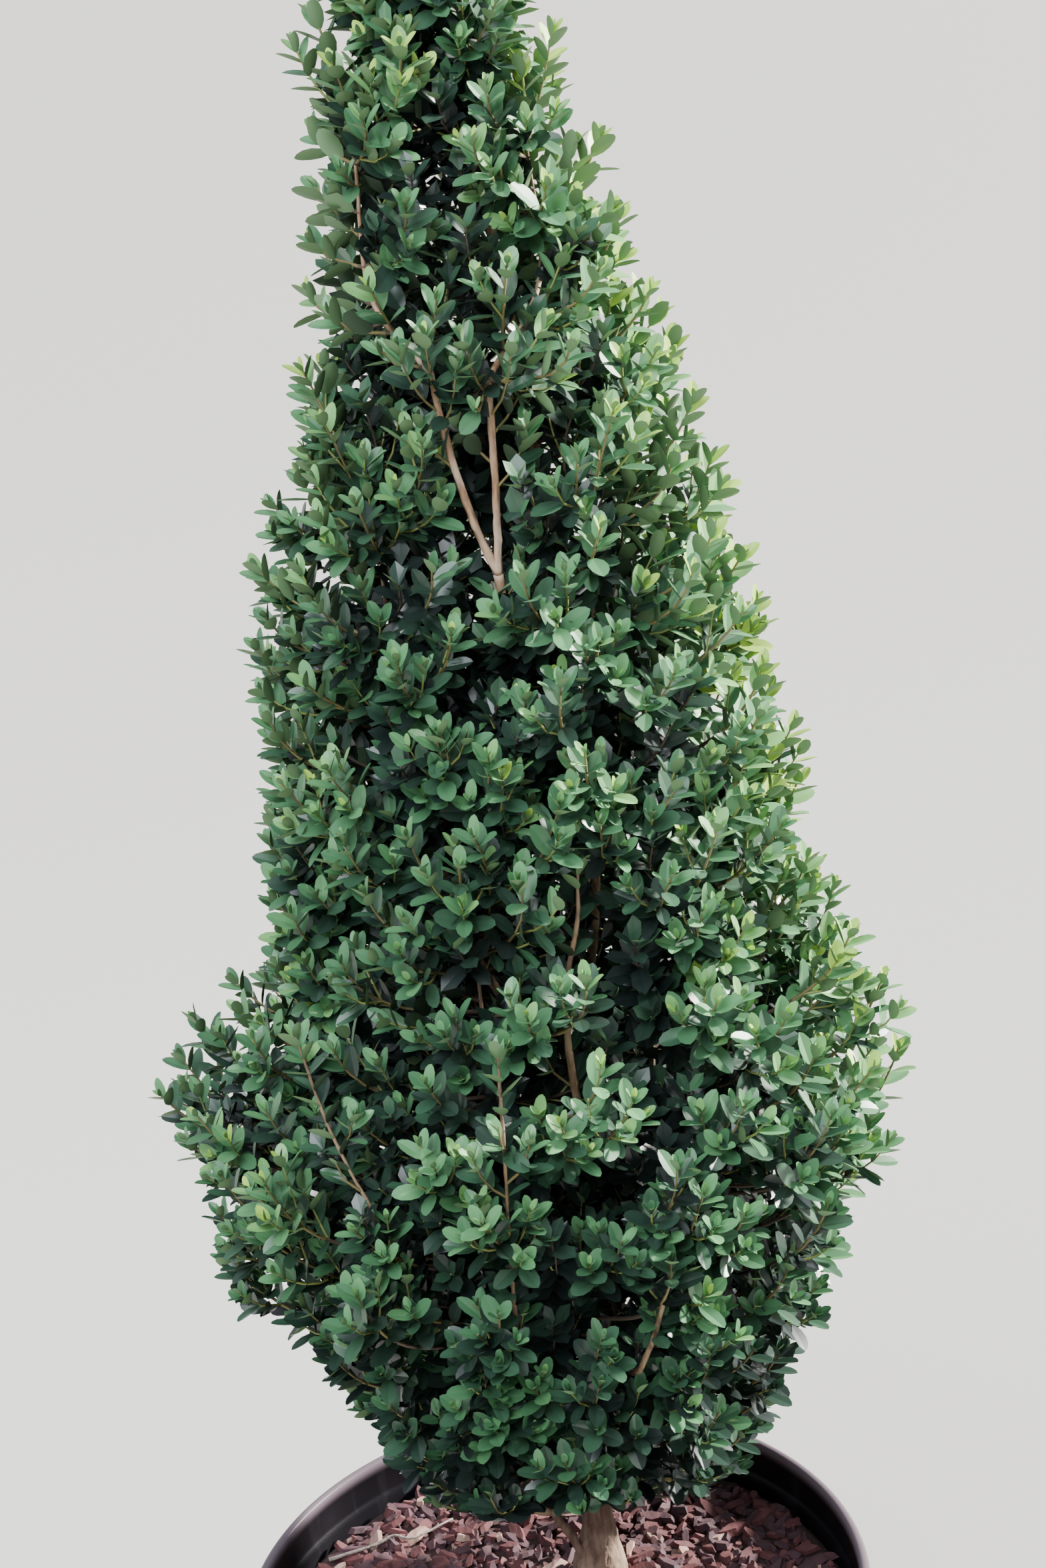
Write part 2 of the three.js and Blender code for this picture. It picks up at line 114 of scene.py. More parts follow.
# %% Paint
class Paint:
    def __init__(self, name):
        self.material = bpy.data.materials.new(name)
        self.material.use_nodes = True
        self.tree = self.material.node_tree
        self.shader = self.tree.nodes["Principled BSDF"]

    def set(self, socket, value):
        if isinstance(value, Amount):
            self.tree.links.new(value.socket, socket)
        else:
            socket.default_value = value

    def node(self, kind, settings, values, output=0):
        made = self.tree.nodes.new(kind)
        for name, value in settings.items():
            setattr(made, name, value)
        for name, value in values.items():
            self.set(made.inputs[name], value)
        return Amount(self, made.outputs[output])

    def finish(self, **values):
        for name, value in values.items():
            self.set(self.shader.inputs[name.replace("_", " ")], value)
        return self.material

    def place(self, scale=(1, 1, 1)):
        here = self.node("ShaderNodeTexCoord", {}, {}, "Object")
        return self.node("ShaderNodeMapping", {}, {"Vector": here, "Scale": scale})

    def noise(self, scale, detail=3, stretch=(1, 1, 1), roughness=0.5):
        values = {"Vector": self.place(stretch), "Scale": scale, "Detail": detail, "Roughness": roughness}
        return self.node("ShaderNodeTexNoise", {}, values, "Fac")

    def ramp(self, value, low, high):
        values = {"Value": value, "From Min": low, "From Max": high}
        return self.node("ShaderNodeMapRange", {"interpolation_type": "SMOOTHSTEP"}, values)

    def mix(self, share, first, second):
        values = {"Factor": share, 6: first, 7: second}
        return self.node("ShaderNodeMix", {"data_type": "RGBA"}, values, 2)

    def bump(self, height, distance, strength=1):
        values = {"Height": height, "Distance": distance, "Strength": strength}
        return self.node("ShaderNodeBump", {}, values)


def colour(red, green, blue):
    return (red, green, blue, 1)


print("paint ready")

# %% [markdown]
# ## Geometry node trees
# Leaves, twigs and bark chips repeat thousands of times. Python could copy their meshes one by one, but a
# node tree places them faster and keeps their rule in one spot. The class below builds a tree from named
# inputs. The functions after it set a modifier's inputs by their identifiers and turn the result into a
# plain mesh, because the export would drop instances.


# %% Geometry node trees
class Growth:
    def __init__(self, name, inputs):
        self.tree = bpy.data.node_groups.new(name, "GeometryNodeTree")
        self.tree.interface.new_socket("Geometry", in_out="INPUT", socket_type="NodeSocketGeometry")
        for label, kind in inputs.items():
            self.tree.interface.new_socket(label, in_out="INPUT", socket_type="NodeSocket" + kind)
        self.tree.interface.new_socket("Geometry", in_out="OUTPUT", socket_type="NodeSocketGeometry")
        self.given = self.tree.nodes.new("NodeGroupInput").outputs

    def node(self, kind, settings, values, output=0):
        made = self.tree.nodes.new(kind)
        for name, value in settings.items():
            setattr(made, name, value)
        for name, value in values.items():
            if isinstance(value, bpy.types.NodeSocket):
                self.tree.links.new(value, made.inputs[name])
            else:
                made.inputs[name].default_value = value
        return made.outputs[output]

    def attribute(self, name, kind="FLOAT"):
        return self.node("GeometryNodeInputNamedAttribute", {"data_type": kind}, {"Name": name})

    def maths(self, operation, first, second):
        return self.node("ShaderNodeMath", {"operation": operation}, {0: first, 1: second})

    def vectors(self, operation, first, second, output=0):
        return self.node("ShaderNodeVectorMath", {"operation": operation}, {0: first, 1: second}, output)

    def compare(self, operation, first, second):
        settings = {"data_type": "INT", "operation": operation}
        return self.node("FunctionNodeCompare", settings, {2: first, 3: second})

    def random(self, kind, low, high, seed):
        least, most, output = (0, 1, 0) if kind == "FLOAT_VECTOR" else (2, 3, 1)
        values = {least: low, most: high, "Seed": seed}
        return self.node("FunctionNodeRandomValue", {"data_type": kind}, values, output)

    def shapes(self, collection):
        values = {"Collection": collection, "Separate Children": True, "Reset Children": True}
        return self.node("GeometryNodeCollectionInfo", {}, values)

    def finished(self, geometry, material, chosen=True):
        values = {"Geometry": geometry, "Selection": chosen, "Material": material}
        return self.node("GeometryNodeSetMaterial", {}, values)

    def end(self, geometry):
        self.tree.links.new(geometry, self.tree.nodes.new("NodeGroupOutput").inputs[0])
        return self.tree


print("node trees ready")


# %% From a tree to a piece
def piece_of(name, mesh):
    mesh.name = name
    made = bpy.data.objects.new(name, mesh)
    bpy.context.scene.collection.objects.link(made)
    return made


def settled(name, carrier):
    carrier.update_tag()
    graph = bpy.context.evaluated_depsgraph_get()
    mesh = bpy.data.meshes.new_from_object(carrier.evaluated_get(graph), depsgraph=graph)
    bpy.data.objects.remove(carrier)
    return piece_of(name, mesh)


def grown(name, carrier, tree, values):
    modifier = carrier.modifiers.new("growth", "NODES")
    modifier.node_group = tree
    for item in tree.interface.items_tree:
        if item.in_out == "INPUT" and item.name in values:
            modifier[item.identifier] = values[item.name]
    return settled(name, carrier)


def triangles(piece):
    return sum(len(face.vertices) - 2 for face in piece.data.polygons)


def dress(piece, nodes=()):
    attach(piece, "root")
    if nodes:
        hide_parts(*nodes)
    print(piece.name, triangles(piece), "triangles")


print("piece helpers ready")

# %% [markdown]
# ## Finishes of the pot and its filling
# The pot is black plastic with a faint purple tint, scuffed by handling and dusty in patches, and the paler
# purple-grey band at its lip is a painted sheen. The bark is red-brown, split along its grain, with a few
# pale fresh faces. Pictures of plastic and bark could be laid over the meshes, but noise has no seams and
# keeps its grain at every size. Each chip carries its own tone, so that one finish can tell one chip from
# the next.

# %% Pot and filling finishes
POT_HEIGHT = 350


def pot_plastic():
    paint = Paint("pot_plastic")
    cloudy = paint.noise(9, 4)
    scuffs = paint.ramp(paint.noise(60, 5, (1, 1, 0.12)), 0.55, 0.75)
    dust = paint.ramp(cloudy, 0.45, 0.8)
    height = paint.node("ShaderNodeSeparateXYZ", {}, {"Vector": paint.place()}, "Z")
    # Painted sheen: the band just under the rim is mixed to a paler purple-grey, standing in for the sky's
    # reflection on the lip.
    painted_lip_sheen = paint.ramp(height, (POT_HEIGHT - 9) * MM, (POT_HEIGHT - 1) * MM)
    base = paint.mix(dust, colour(0.004, 0.0035, 0.005), colour(0.011, 0.009, 0.012))
    base = paint.mix(scuffs * 0.2, base, colour(0.026, 0.022, 0.028))
    base = paint.mix(painted_lip_sheen * 0.8, base, colour(0.13, 0.1, 0.12))
    grain = paint.noise(900, 2)
    return paint.finish(
        Base_Color=base, Roughness=dust * 0.14 + scuffs * 0.1 + 0.34,
        Normal=paint.bump(grain, 0.00012, 0.5), Specular_IOR_Level=0.17)


def bark_chips():
    paint = Paint("bark_chips")
    tone = paint.node("ShaderNodeAttribute", {"attribute_name": "tone"}, {}, "Fac")
    grain = paint.noise(160, 5, (1, 0.3, 1))
    red = paint.mix(grain, colour(0.027, 0.007, 0.009), colour(0.15, 0.043, 0.045))
    purple = paint.mix(grain, colour(0.016, 0.006, 0.01), colour(0.085, 0.033, 0.044))
    tan = paint.mix(grain, colour(0.2, 0.1, 0.075), colour(0.55, 0.36, 0.3))
    base = paint.mix(paint.ramp(tone, 0.35, 0.65), red, purple)
    base = paint.mix(paint.ramp(tone, 0.94, 0.99), base, tan)
    return paint.finish(Base_Color=base, Roughness=grain * 0.2 + 0.7, Normal=paint.bump(grain, 0.0012, 0.8))


def potting_mix():
    paint = Paint("potting_mix")
    crumbs = paint.noise(220, 6)
    base = paint.mix(crumbs, colour(0.012, 0.006, 0.006), colour(0.07, 0.03, 0.028))
    return paint.finish(
        Base_Color=base, Roughness=crumbs * 0.1 + 0.85, Normal=paint.bump(crumbs, 0.002, 0.9))


POT_PLASTIC, BARK_CHIPS, POTTING_MIX = pot_plastic(), bark_chips(), potting_mix()
print("finishes", POT_PLASTIC.name, BARK_CHIPS.name, POTTING_MIX.name)

# %% [markdown]
# ## Pot
# A nursery pot is blow moulded: a thin wall that narrows downwards, a straight collar below the rim and a
# lip rolled outwards. It could be a cylinder that is scaled ring by ring, but a profile turned round the
# axis gives wall, collar and lip at once and closes at both ends. Eight drain notches are cut from the
# bottom edge by a boolean, as the mould's inserts would leave them.

# %% Profile of the pot
LIP_RADIUS, COLLAR_RADIUS, BODY_TOP_RADIUS, FOOT_RADIUS = 200, 196, 193, 168
COLLAR_FOOT, LIP_HEIGHT, WALL = 322, 8, 3
FOOT_ROUND, LIP_FOOT_ROUND, LIP_ROUND = 5, 3, 3.5
BODY_RINGS = (60, 140, 220, 290, COLLAR_FOOT - 3)


def arc(centre, radius, start, end, steps):
    turns = [math.radians(start + (end - start) * i / steps) for i in range(steps + 1)]
    return [(centre[0] + radius * math.cos(a), centre[1] + radius * math.sin(a)) for a in turns]


def inner_wall(height):
    return FOOT_RADIUS + (BODY_TOP_RADIUS - FOOT_RADIUS) * height / COLLAR_FOOT - WALL


LIP_FOOT = POT_HEIGHT - LIP_HEIGHT
INSIDE_COLLAR = COLLAR_RADIUS - WALL
POT_PROFILE = [
    (0, 0), (FOOT_RADIUS - 12, 0), *arc((FOOT_RADIUS - FOOT_ROUND, FOOT_ROUND), FOOT_ROUND, -90, -4, 4),
    *[(inner_wall(height) + WALL, height) for height in BODY_RINGS],
    (BODY_TOP_RADIUS, COLLAR_FOOT - 1), (COLLAR_RADIUS - 0.6, COLLAR_FOOT + 1.5),
    (COLLAR_RADIUS, COLLAR_FOOT + 4), (COLLAR_RADIUS, LIP_FOOT - 1.2), (COLLAR_RADIUS + 0.8, LIP_FOOT),
    *arc((LIP_RADIUS - LIP_FOOT_ROUND, LIP_FOOT + LIP_FOOT_ROUND), LIP_FOOT_ROUND, -80, 0, 3),
    *arc((LIP_RADIUS - LIP_ROUND, POT_HEIGHT - LIP_ROUND), LIP_ROUND, 0, 150, 6),
    (INSIDE_COLLAR, POT_HEIGHT - 5), (INSIDE_COLLAR, COLLAR_FOOT + WALL + 1),
    (INSIDE_COLLAR - 1, COLLAR_FOOT + WALL - 1), (inner_wall(COLLAR_FOOT), COLLAR_FOOT - 1),
    (inner_wall(160), 160), (inner_wall(WALL), WALL), (0, WALL),
]
print("pot profile has", len(POT_PROFILE), "points")

# %% Pot
POT_SIDES, SHARP_ANGLE = 144, 40
DRAIN_HOLES, DRAIN_WIDTH, DRAIN_HEIGHT = 8, 26, 14


def turned(name, profile, sides, material):
    angles = np.arange(sides) * 2 * math.pi / sides
    rings = [[(r * math.cos(a), r * math.sin(a), h) for a in angles] if r else [(0, 0, h)]
             for r, h in profile]
    starts = np.cumsum([0] + [len(ring) for ring in rings])
    faces = []
    for i, (low, high) in enumerate(zip(rings, rings[1:])):
        for j in range(sides):
            k = (j + 1) % sides
            corners = [starts[i] + j % len(low), starts[i] + k % len(low),
                       starts[i + 1] + k % len(high), starts[i + 1] + j % len(high)]
            faces.append(list(dict.fromkeys(corners)))
    mesh = bpy.data.meshes.new(name)
    mesh.from_pydata([Vector(corner) * MM for ring in rings for corner in ring], [], faces)
    mesh.materials.append(material)
    mesh.polygons.foreach_set("use_smooth", [True] * len(mesh.polygons))
    return piece_of(name, mesh)


def drain_cutter():
    made = bmesh.new()
    for i in range(DRAIN_HOLES):
        turn = Matrix.Rotation(2 * math.pi * (i + 0.5) / DRAIN_HOLES, 4, "Z")
        size = Matrix.Diagonal((2 * DRAIN_HEIGHT * MM, DRAIN_WIDTH * MM, 2 * DRAIN_HEIGHT * MM, 1))
        bmesh.ops.create_cube(made, matrix=turn @ Matrix.Translation((FOOT_RADIUS * MM, 0, 0)) @ size)
    mesh = bpy.data.meshes.new("drain_cutter")
    made.to_mesh(mesh)
    made.free()
    return piece_of("drain_cutter", mesh)


pot = turned("nursery_pot", POT_PROFILE, POT_SIDES, POT_PLASTIC)
cutter = drain_cutter()
cut = pot.modifiers.new("drain_holes", "BOOLEAN")
cut.object, cut.operation, cut.solver = cutter, "DIFFERENCE", "EXACT"
pot = settled("nursery_pot", pot)
bpy.data.objects.remove(cutter)
pot.data.set_sharp_from_angle(angle=math.radians(SHARP_ANGLE))
dress(pot, ["pot"])

# %% [markdown]
# ## Bed of potting mix and bark
# The filling stands 30 mm below the rim, and loose bark covers it. A physics drop could lay every chip, but
# it is slow, and its result may change from run to run. Here the top is a disc that noise pulls up and
# down. Points are spread over it with a fixed seed, and each gets one of five chip shapes, turned and sized
# at random.

# %% Bed
SOIL_LEVEL = 320
TRUNK_FOOT = Vector((28, 45))
BED_RINGS, BED_SIDES, BED_GAP = 26, 96, 0.4
BED_RELIEF, BED_DIP, LUMP_SCALE, LEVEL_ROUND_TRUNK = 3.2, 3.4, 0.03, 40


def bed_height(x, y):
    relief = noise.fractal(Vector((x, y, 7)) * LUMP_SCALE, 1, 2.2, 4) * BED_RELIEF
    near = math.exp(-(((x - TRUNK_FOOT.x) ** 2 + (y - TRUNK_FOOT.y) ** 2) / LEVEL_ROUND_TRUNK**2))
    return SOIL_LEVEL - BED_DIP * (1 - near) + relief * (1 - near)


bed_edge = inner_wall(SOIL_LEVEL) - BED_GAP
profile = [(0, WALL + 1), (inner_wall(WALL + 1) - BED_GAP, WALL + 1), (bed_edge - 0.8, SOIL_LEVEL - 8)]
profile += [(bed_edge * (1 - i / BED_RINGS), SOIL_LEVEL) for i in range(1, BED_RINGS)] + [(0, SOIL_LEVEL)]
bed = turned("potting_bed", profile, BED_SIDES, POTTING_MIX)
for corner in bed.data.vertices:
    if corner.co.z > (SOIL_LEVEL - 1) * MM:
        corner.co.z = bed_height(corner.co.x / MM, corner.co.y / MM) * MM
dress(bed, ["bark_mulch"])

# %% Chip shapes
CHIP_CORNERS, CORNER_DRIFT, CORNER_REACH = 7, 0.3, (0.75, 1.1)
CHIP_SIDES, CHIP_SLOPE = ((-0.5, 0.9), (0.5, 0.72)), 0.25


def chip_shape(name, length, width, thickness, seed):
    draw = np.random.default_rng(seed)
    made = bmesh.new()
    drift = draw.uniform(-CORNER_DRIFT, CORNER_DRIFT, CHIP_CORNERS)
    turns = (np.arange(CHIP_CORNERS) + drift) * 2 * math.pi / CHIP_CORNERS
    reach = draw.uniform(*CORNER_REACH, CHIP_CORNERS)
    rings = []
    for height, share in CHIP_SIDES:
        tilt = draw.uniform(-CHIP_SLOPE, CHIP_SLOPE, 2)
        rings.append([made.verts.new(Vector((
            length * r * share * math.cos(a) / 2, width * r * share * math.sin(a) / 2,
            thickness * (height + tilt[0] * math.cos(a) + tilt[1] * math.sin(a)))) * MM)
            for a, r in zip(turns, reach)])
    made.faces.new(rings[0][::-1])
    made.faces.new(rings[1])
    for i in range(CHIP_CORNERS):
        k = (i + 1) % CHIP_CORNERS
        made.faces.new((rings[0][i], rings[0][k], rings[1][k], rings[1][i]))
    mesh = bpy.data.meshes.new(name)
    made.to_mesh(mesh)
    made.free()
    return bpy.data.objects.new(name, mesh)


CHIP_SIZES = [(27, 9, 4), (20, 8, 3.5), (15, 10, 4), (12, 6, 3), (9, 6, 2.5)]
chips = bpy.data.collections.new("chips")
for i, size in enumerate(CHIP_SIZES):
    chips.objects.link(chip_shape(f"chip_{i}", *size, seed=i))

# %% Chips on the bed
CHIPS_TO_SQUARE_METRE, SMALLEST_CHIP, LARGEST_CHIP = 27000.0, 0.55, 1.3
CHIP_SEED, SIZE_SEED, LIFT_SEED, TONE_SEED = 5, 2, 3, 4
CHIP_LIFT, CHIP_TILT = 5, 0.4
LOWEST_CHIP, EDGE_MARGIN, TRUNK_CLEARANCE = SOIL_LEVEL - 12, 13, 19


def chip_tree():
    growth = Growth("chips_on_bed", {
        "Shapes": "Collection", "Density": "Float", "Seed": "Int", "Material": "Material",
        "Level": "Float", "Reach": "Float", "Trunk": "Vector", "Clearance": "Float", "Lift": "Vector",
        "Least Turn": "Vector", "Most Turn": "Vector", "Smallest": "Float", "Largest": "Float"})
    given = growth.given
    place = growth.node("GeometryNodeInputPosition", {}, {})
    height = growth.node("ShaderNodeSeparateXYZ", {}, {"Vector": place}, "Z")
    flat = growth.vectors("MULTIPLY", place, (1, 1, 0))
    from_axis = growth.vectors("DISTANCE", flat, (0, 0, 0), "Value")
    from_trunk = growth.vectors("DISTANCE", flat, given["Trunk"], "Value")
    above = growth.maths("GREATER_THAN", height, given["Level"])
    inside = growth.maths("LESS_THAN", from_axis, given["Reach"])
    clear = growth.maths("GREATER_THAN", from_trunk, given["Clearance"])
    here = growth.maths("MULTIPLY", growth.maths("MULTIPLY", above, inside), clear)
    spread = growth.node("GeometryNodeDistributePointsOnFaces", {}, {
        "Mesh": given["Geometry"], "Selection": here, "Density": given["Density"], "Seed": given["Seed"]})
    lift = growth.random("FLOAT_VECTOR", (0, 0, 0), given["Lift"], LIFT_SEED)
    raised = growth.node("GeometryNodeSetPosition", {}, {"Geometry": spread, "Offset": lift})
    turn = growth.random("FLOAT_VECTOR", given["Least Turn"], given["Most Turn"], given["Seed"])
    size = growth.random("FLOAT", given["Smallest"], given["Largest"], SIZE_SEED)
    laid = growth.node("GeometryNodeInstanceOnPoints", {}, {
        "Points": raised, "Instance": growth.shapes(given["Shapes"]), "Pick Instance": True,
        "Rotation": turn, "Scale": size})
    toned = growth.node("GeometryNodeStoreNamedAttribute", {"data_type": "FLOAT", "domain": "INSTANCE"}, {
        "Geometry": laid, "Name": "tone", "Value": growth.random("FLOAT", 0.0, 1.0, TONE_SEED)})
    real = growth.node("GeometryNodeRealizeInstances", {}, {"Geometry": toned})
    return growth.end(growth.finished(real, given["Material"]))


bark_pieces = grown("bark_pieces", piece_of("bed_copy", bed.data.copy()), chip_tree(), {
    "Shapes": chips, "Density": CHIPS_TO_SQUARE_METRE, "Seed": CHIP_SEED, "Material": BARK_CHIPS,
    "Level": LOWEST_CHIP * MM, "Reach": (bed_edge - EDGE_MARGIN) * MM,
    "Trunk": (TRUNK_FOOT.x * MM, TRUNK_FOOT.y * MM, 0), "Clearance": TRUNK_CLEARANCE * MM,
    "Lift": (0.0, 0.0, CHIP_LIFT * MM), "Least Turn": (-CHIP_TILT, -CHIP_TILT, -math.pi),
    "Most Turn": (CHIP_TILT, CHIP_TILT, math.pi),
    "Smallest": SMALLEST_CHIP, "Largest": LARGEST_CHIP})
dress(bark_pieces)

# %% [markdown]
# ## The rule of the crown
# The crown is a loose cone on an axis of its own, widest below its middle. Leaves could be scattered over
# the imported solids, but then no twig would hold them. So the rule that laid out the solids is written here
# again, in millimetres above the filling: an envelope, and rings of masses inside it, each on a bough. The
# outline is full opposite each mass and drawn in between two. The flank tables then widen or narrow it to
# the left and to the right, as the shears left it.

# %% Crown rule
UP = np.array((0.0, 0.0, 1.0))
AXIS = np.array((24.0, 32.0, SOIL_LEVEL))
ENVELOPE = np.array([(34, 62), (110, 132), (230, 182), (400, 226), (540, 188),
                     (700, 152), (850, 110), (1000, 68), (1120, 36), (1168, 6)])
HEART = 0.48
TIERS = {
    "low": {"height": 165, "count": 5, "bearing": -66, "stem": 70,
            "bough": {"foot": 106, "step": -11, "radius": 4}},
    "middle": {"height": 415, "count": 5, "bearing": -105, "stem": 85,
               "bough": {"foot": 140, "step": 16, "radius": 4.8}},
    "upper": {"height": 645, "count": 4, "bearing": -135, "stem": 75,
              "bough": {"foot": 390, "step": 22, "radius": 3.4}},
    "high": {"height": 855, "count": 3, "bearing": -150, "stem": 70,
             "bough": {"foot": 640, "step": 18, "radius": 2.6}},
    "top": {"height": 1055, "count": 1, "bearing": 0, "stem": 85},
}


def unit(vector):
    return vector / np.linalg.norm(vector)


def above_soil(place):
    return np.array((place[0], place[1], SOIL_LEVEL + place[2]), float)


def outward(bearing):
    return np.array((math.cos(math.radians(bearing)), math.sin(math.radians(bearing)), 0))


def envelope(height):
    return np.interp(height, ENVELOPE[:, 0], ENVELOPE[:, 1])


def on_envelope(height, bearing, share):
    return AXIS + UP * height + outward(bearing) * envelope(height) * share


masses = {}
for tier_name, tier in TIERS.items():
    alone = tier["count"] == 1
    for i in range(tier["count"]):
        bearing = tier["bearing"] + 360 * i / tier["count"]
        masses[tier_name if alone else f"{tier_name}_{i + 1}"] = {
            "tier": tier_name,
            "bearing": bearing,
            "heart": on_envelope(tier["height"], bearing, 0 if alone else HEART),
            "face": on_envelope(tier["height"], bearing, 0 if alone else 1),
            "bough_foot": 0 if alone else tier["bough"]["foot"] + tier["bough"]["step"] * i,
        }
print(len(masses), "masses, crown", round(ENVELOPE[-1, 0]), "mm tall")

# %% Outline of the crown
LEFT_FLANK = np.array([
    (160, 0.76), (222, 0.87), (289, 0.96), (371, 1.09), (423, 1.07), (442, 0.96), (487, 0.75), (530, 0.81),
    (620, 0.87), (673, 0.91), (732, 1.0), (774, 0.83), (864, 0.8), (951, 0.87), (1000, 0.95)])
RIGHT_FLANK = np.array([
    (94, 0.9), (126, 0.87), (160, 0.83), (204, 0.9), (243, 0.91), (288, 0.97), (335, 0.95), (378, 1.0),
    (468, 1.02), (506, 0.95), (555, 1.03), (584, 0.98), (639, 1.06), (686, 1.09), (715, 0.97), (811, 1.04),
    (865, 1.07), (900, 1.13), (947, 1.04), (978, 0.98)])
VALLEY, BULGE_SIZE = 0.95, 105
FACES = np.array([mass["face"] for mass in masses.values()])


def flank(height, bearing):
    sideways = math.cos(math.radians(bearing))
    outline = RIGHT_FLANK if sideways > 0 else LEFT_FLANK
    return 1 + abs(sideways) * (np.interp(height, outline[:, 0], outline[:, 1]) - 1)


def on_crown(height, bearing, reach=1.0):
    nearest = np.linalg.norm(FACES - on_envelope(height, bearing, 1), axis=1).min()
    bulge = math.exp(-((nearest / BULGE_SIZE) ** 2))
    return on_envelope(height, bearing, (VALLEY + (1 - VALLEY) * bulge) * flank(height, bearing) * reach)


widest = max(on_crown(height, 0)[0] - AXIS[0] for height in range(100, 1100, 10))
print("widest half width on the right", round(widest), "mm")

# %% [markdown]
# ## Paths of the limbs
# A boxwood limb leaves the stem, reaches outwards and then turns up to the light. Its path could be a
# Blender curve, but the shoots and leaves need places and directions along it as numbers. So two kinds of
# smooth path are worked out here: one runs through given places, and one bends once round an elbow.

# %% Paths
ELBOW_OUT, ELBOW_UP = 0.85, 0.2


def through(points, step=3.0):
    points = np.array(points, float)
    ends = np.vstack((2 * points[0] - points[1], points, 2 * points[-1] - points[-2]))
    made = []
    for a, b, c, d in zip(ends, ends[1:], ends[2:], ends[3:]):
        count = max(2, int(np.linalg.norm(c - b) / step))
        t = (np.arange(count) / count)[:, None]
        square, cube = 2 * a - 5 * b + 4 * c - d, 3 * b - a - 3 * c + d
        made.append(0.5 * (2 * b + (c - a) * t + square * t**2 + cube * t**3))
    return np.vstack((*made, points[-1:]))


def bent(start, elbow, end, step=3.0):
    count = max(3, int((np.linalg.norm(elbow - start) + np.linalg.norm(end - elbow)) / step))
    t = np.linspace(0, 1, count + 1)[:, None]
    return (1 - t) ** 2 * start + 2 * t * (1 - t) * elbow + t**2 * end


def rising(start, end):
    elbow = start + (end - start) * ELBOW_OUT
    elbow[2] = start[2] + (end[2] - start[2]) * ELBOW_UP
    return bent(start, elbow, end)


def at_height(path, height):
    return np.array([np.interp(SOIL_LEVEL + height, path[:, 2], path[:, k]) for k in range(3)])


def lengths_of(path):
    return np.concatenate(([0], np.cumsum(np.linalg.norm(np.diff(path, axis=0), axis=1))))


print("path helpers ready")

# %% Limb paths
TRUNK_PATH = [(28, 45, -12), (32, 42, 60), (37, 38, 130)]
LEADER_PATH = [(37, 38, 130), (43, 35, 370), (62, 30, 535), (56, 29, 790), (32, 31, 985)]
FORK_FOOT, FORK = 585, above_soil((31, -50, 711))
FORK_LEGS = {
    "high_1": ("fork_left", above_soil((7, -52, 822))),
    "high_2": ("fork_right", above_soil((36, -50, 815))),
}
BOUGH_REACH, BOUGH_DROP, LEG_ELBOW, LEG_SPREAD = 0.42, 45, 0.4, 0.35
trunk_path = through([above_soil(place) for place in TRUNK_PATH], 1.2)
leader_path = through([above_soil(place) for place in LEADER_PATH])


def on_main_stem(height):
    return at_height(trunk_path if height < TRUNK_PATH[-1][2] else leader_path, height)


def fork_leg(tip):
    level = (tip - FORK) * (1, 1, 0)
    return bent(FORK, FORK + (tip - FORK) * LEG_ELBOW + level * LEG_SPREAD, tip)


limb_paths = {"trunk": trunk_path, "leader": leader_path, "fork_stem": rising(on_main_stem(FORK_FOOT), FORK)}
for name, mass in masses.items():
    tier = TIERS[mass["tier"]]
    limb_name = "leader"
    if name in FORK_LEGS:
        limb_name, tip = FORK_LEGS[name]
        limb_paths[limb_name] = fork_leg(tip)
    elif tier["count"] > 1:
        limb_name = f"bough_{name}"
        tip = on_envelope(tier["height"], mass["bearing"], BOUGH_REACH) - UP * BOUGH_DROP
        limb_paths[limb_name] = rising(on_main_stem(mass["bough_foot"]), tip)
    mass["stem"] = through([limb_paths[limb_name][-1], mass["heart"], mass["heart"] + UP * tier["stem"]])
print(len(limb_paths), "limbs, leader", round(lengths_of(leader_path)[-1]), "mm long")

# %% [markdown]
# ## Wood
# Old boxwood bark is tan, corky and split into short ridges along the limb, while young stems are smooth
# and golden. A curve with a round bevel would be too smooth, and bump alone would leave its outline
# straight. So a limb is a tube of many sides round its path, and noise that is stretched along the path
# lifts and sinks its surface. The colour is streaked upwards by a noise of its own. A small side branch
# grows from the trunk's foot, and a dry twig lies on the bark.

# %% Wood finishes
BARK_TONES = {
    "trunk_bark": ((0.115, 0.068, 0.046), (0.245, 0.162, 0.112), (0.31, 0.225, 0.165), 220),
    "bough_bark": ((0.1, 0.055, 0.03), (0.34, 0.21, 0.12), (0.4, 0.33, 0.24), 300),
    "fork_bark": ((0.16, 0.08, 0.045), (0.42, 0.26, 0.15), (0.55, 0.42, 0.32), 240),
    "stem_bark": ((0.075, 0.04, 0.022), (0.22, 0.14, 0.07), (0.3, 0.21, 0.14), 300),
    "dry_wood": ((0.1, 0.075, 0.065), (0.3, 0.24, 0.21), (0.4, 0.34, 0.3), 300),
}


def bark_finish(name, dark, light, pale, scale):
    paint = Paint(name)
    grain = paint.noise(scale, 6, (1, 1, 0.22), 0.62)
    patches = paint.ramp(paint.noise(scale * 0.22, 3), 0.4, 0.7)
    base = paint.mix(paint.ramp(grain, 0.34, 0.66), colour(*dark), colour(*light))
    base = paint.mix(patches * 0.6, base, colour(*pale))
    return paint.finish(Base_Color=base, Roughness=grain * 0.15 + 0.7, Normal=paint.bump(grain, 0.0009, 0.7))


barks = {name: bark_finish(name, *tones) for name, tones in BARK_TONES.items()}
print("wood finishes", *barks)

# %% Tubes with bark relief
GRAIN_ACROSS, GRAIN_ALONG = 0.42, 0.05
KNOTS_ACROSS, KNOTS_ALONG, KNOT_SHARE = 1.2, 0.09, 0.8
CREST = 0.6


def square_to(way, vector):
    return unit(vector - way * np.dot(vector, way))


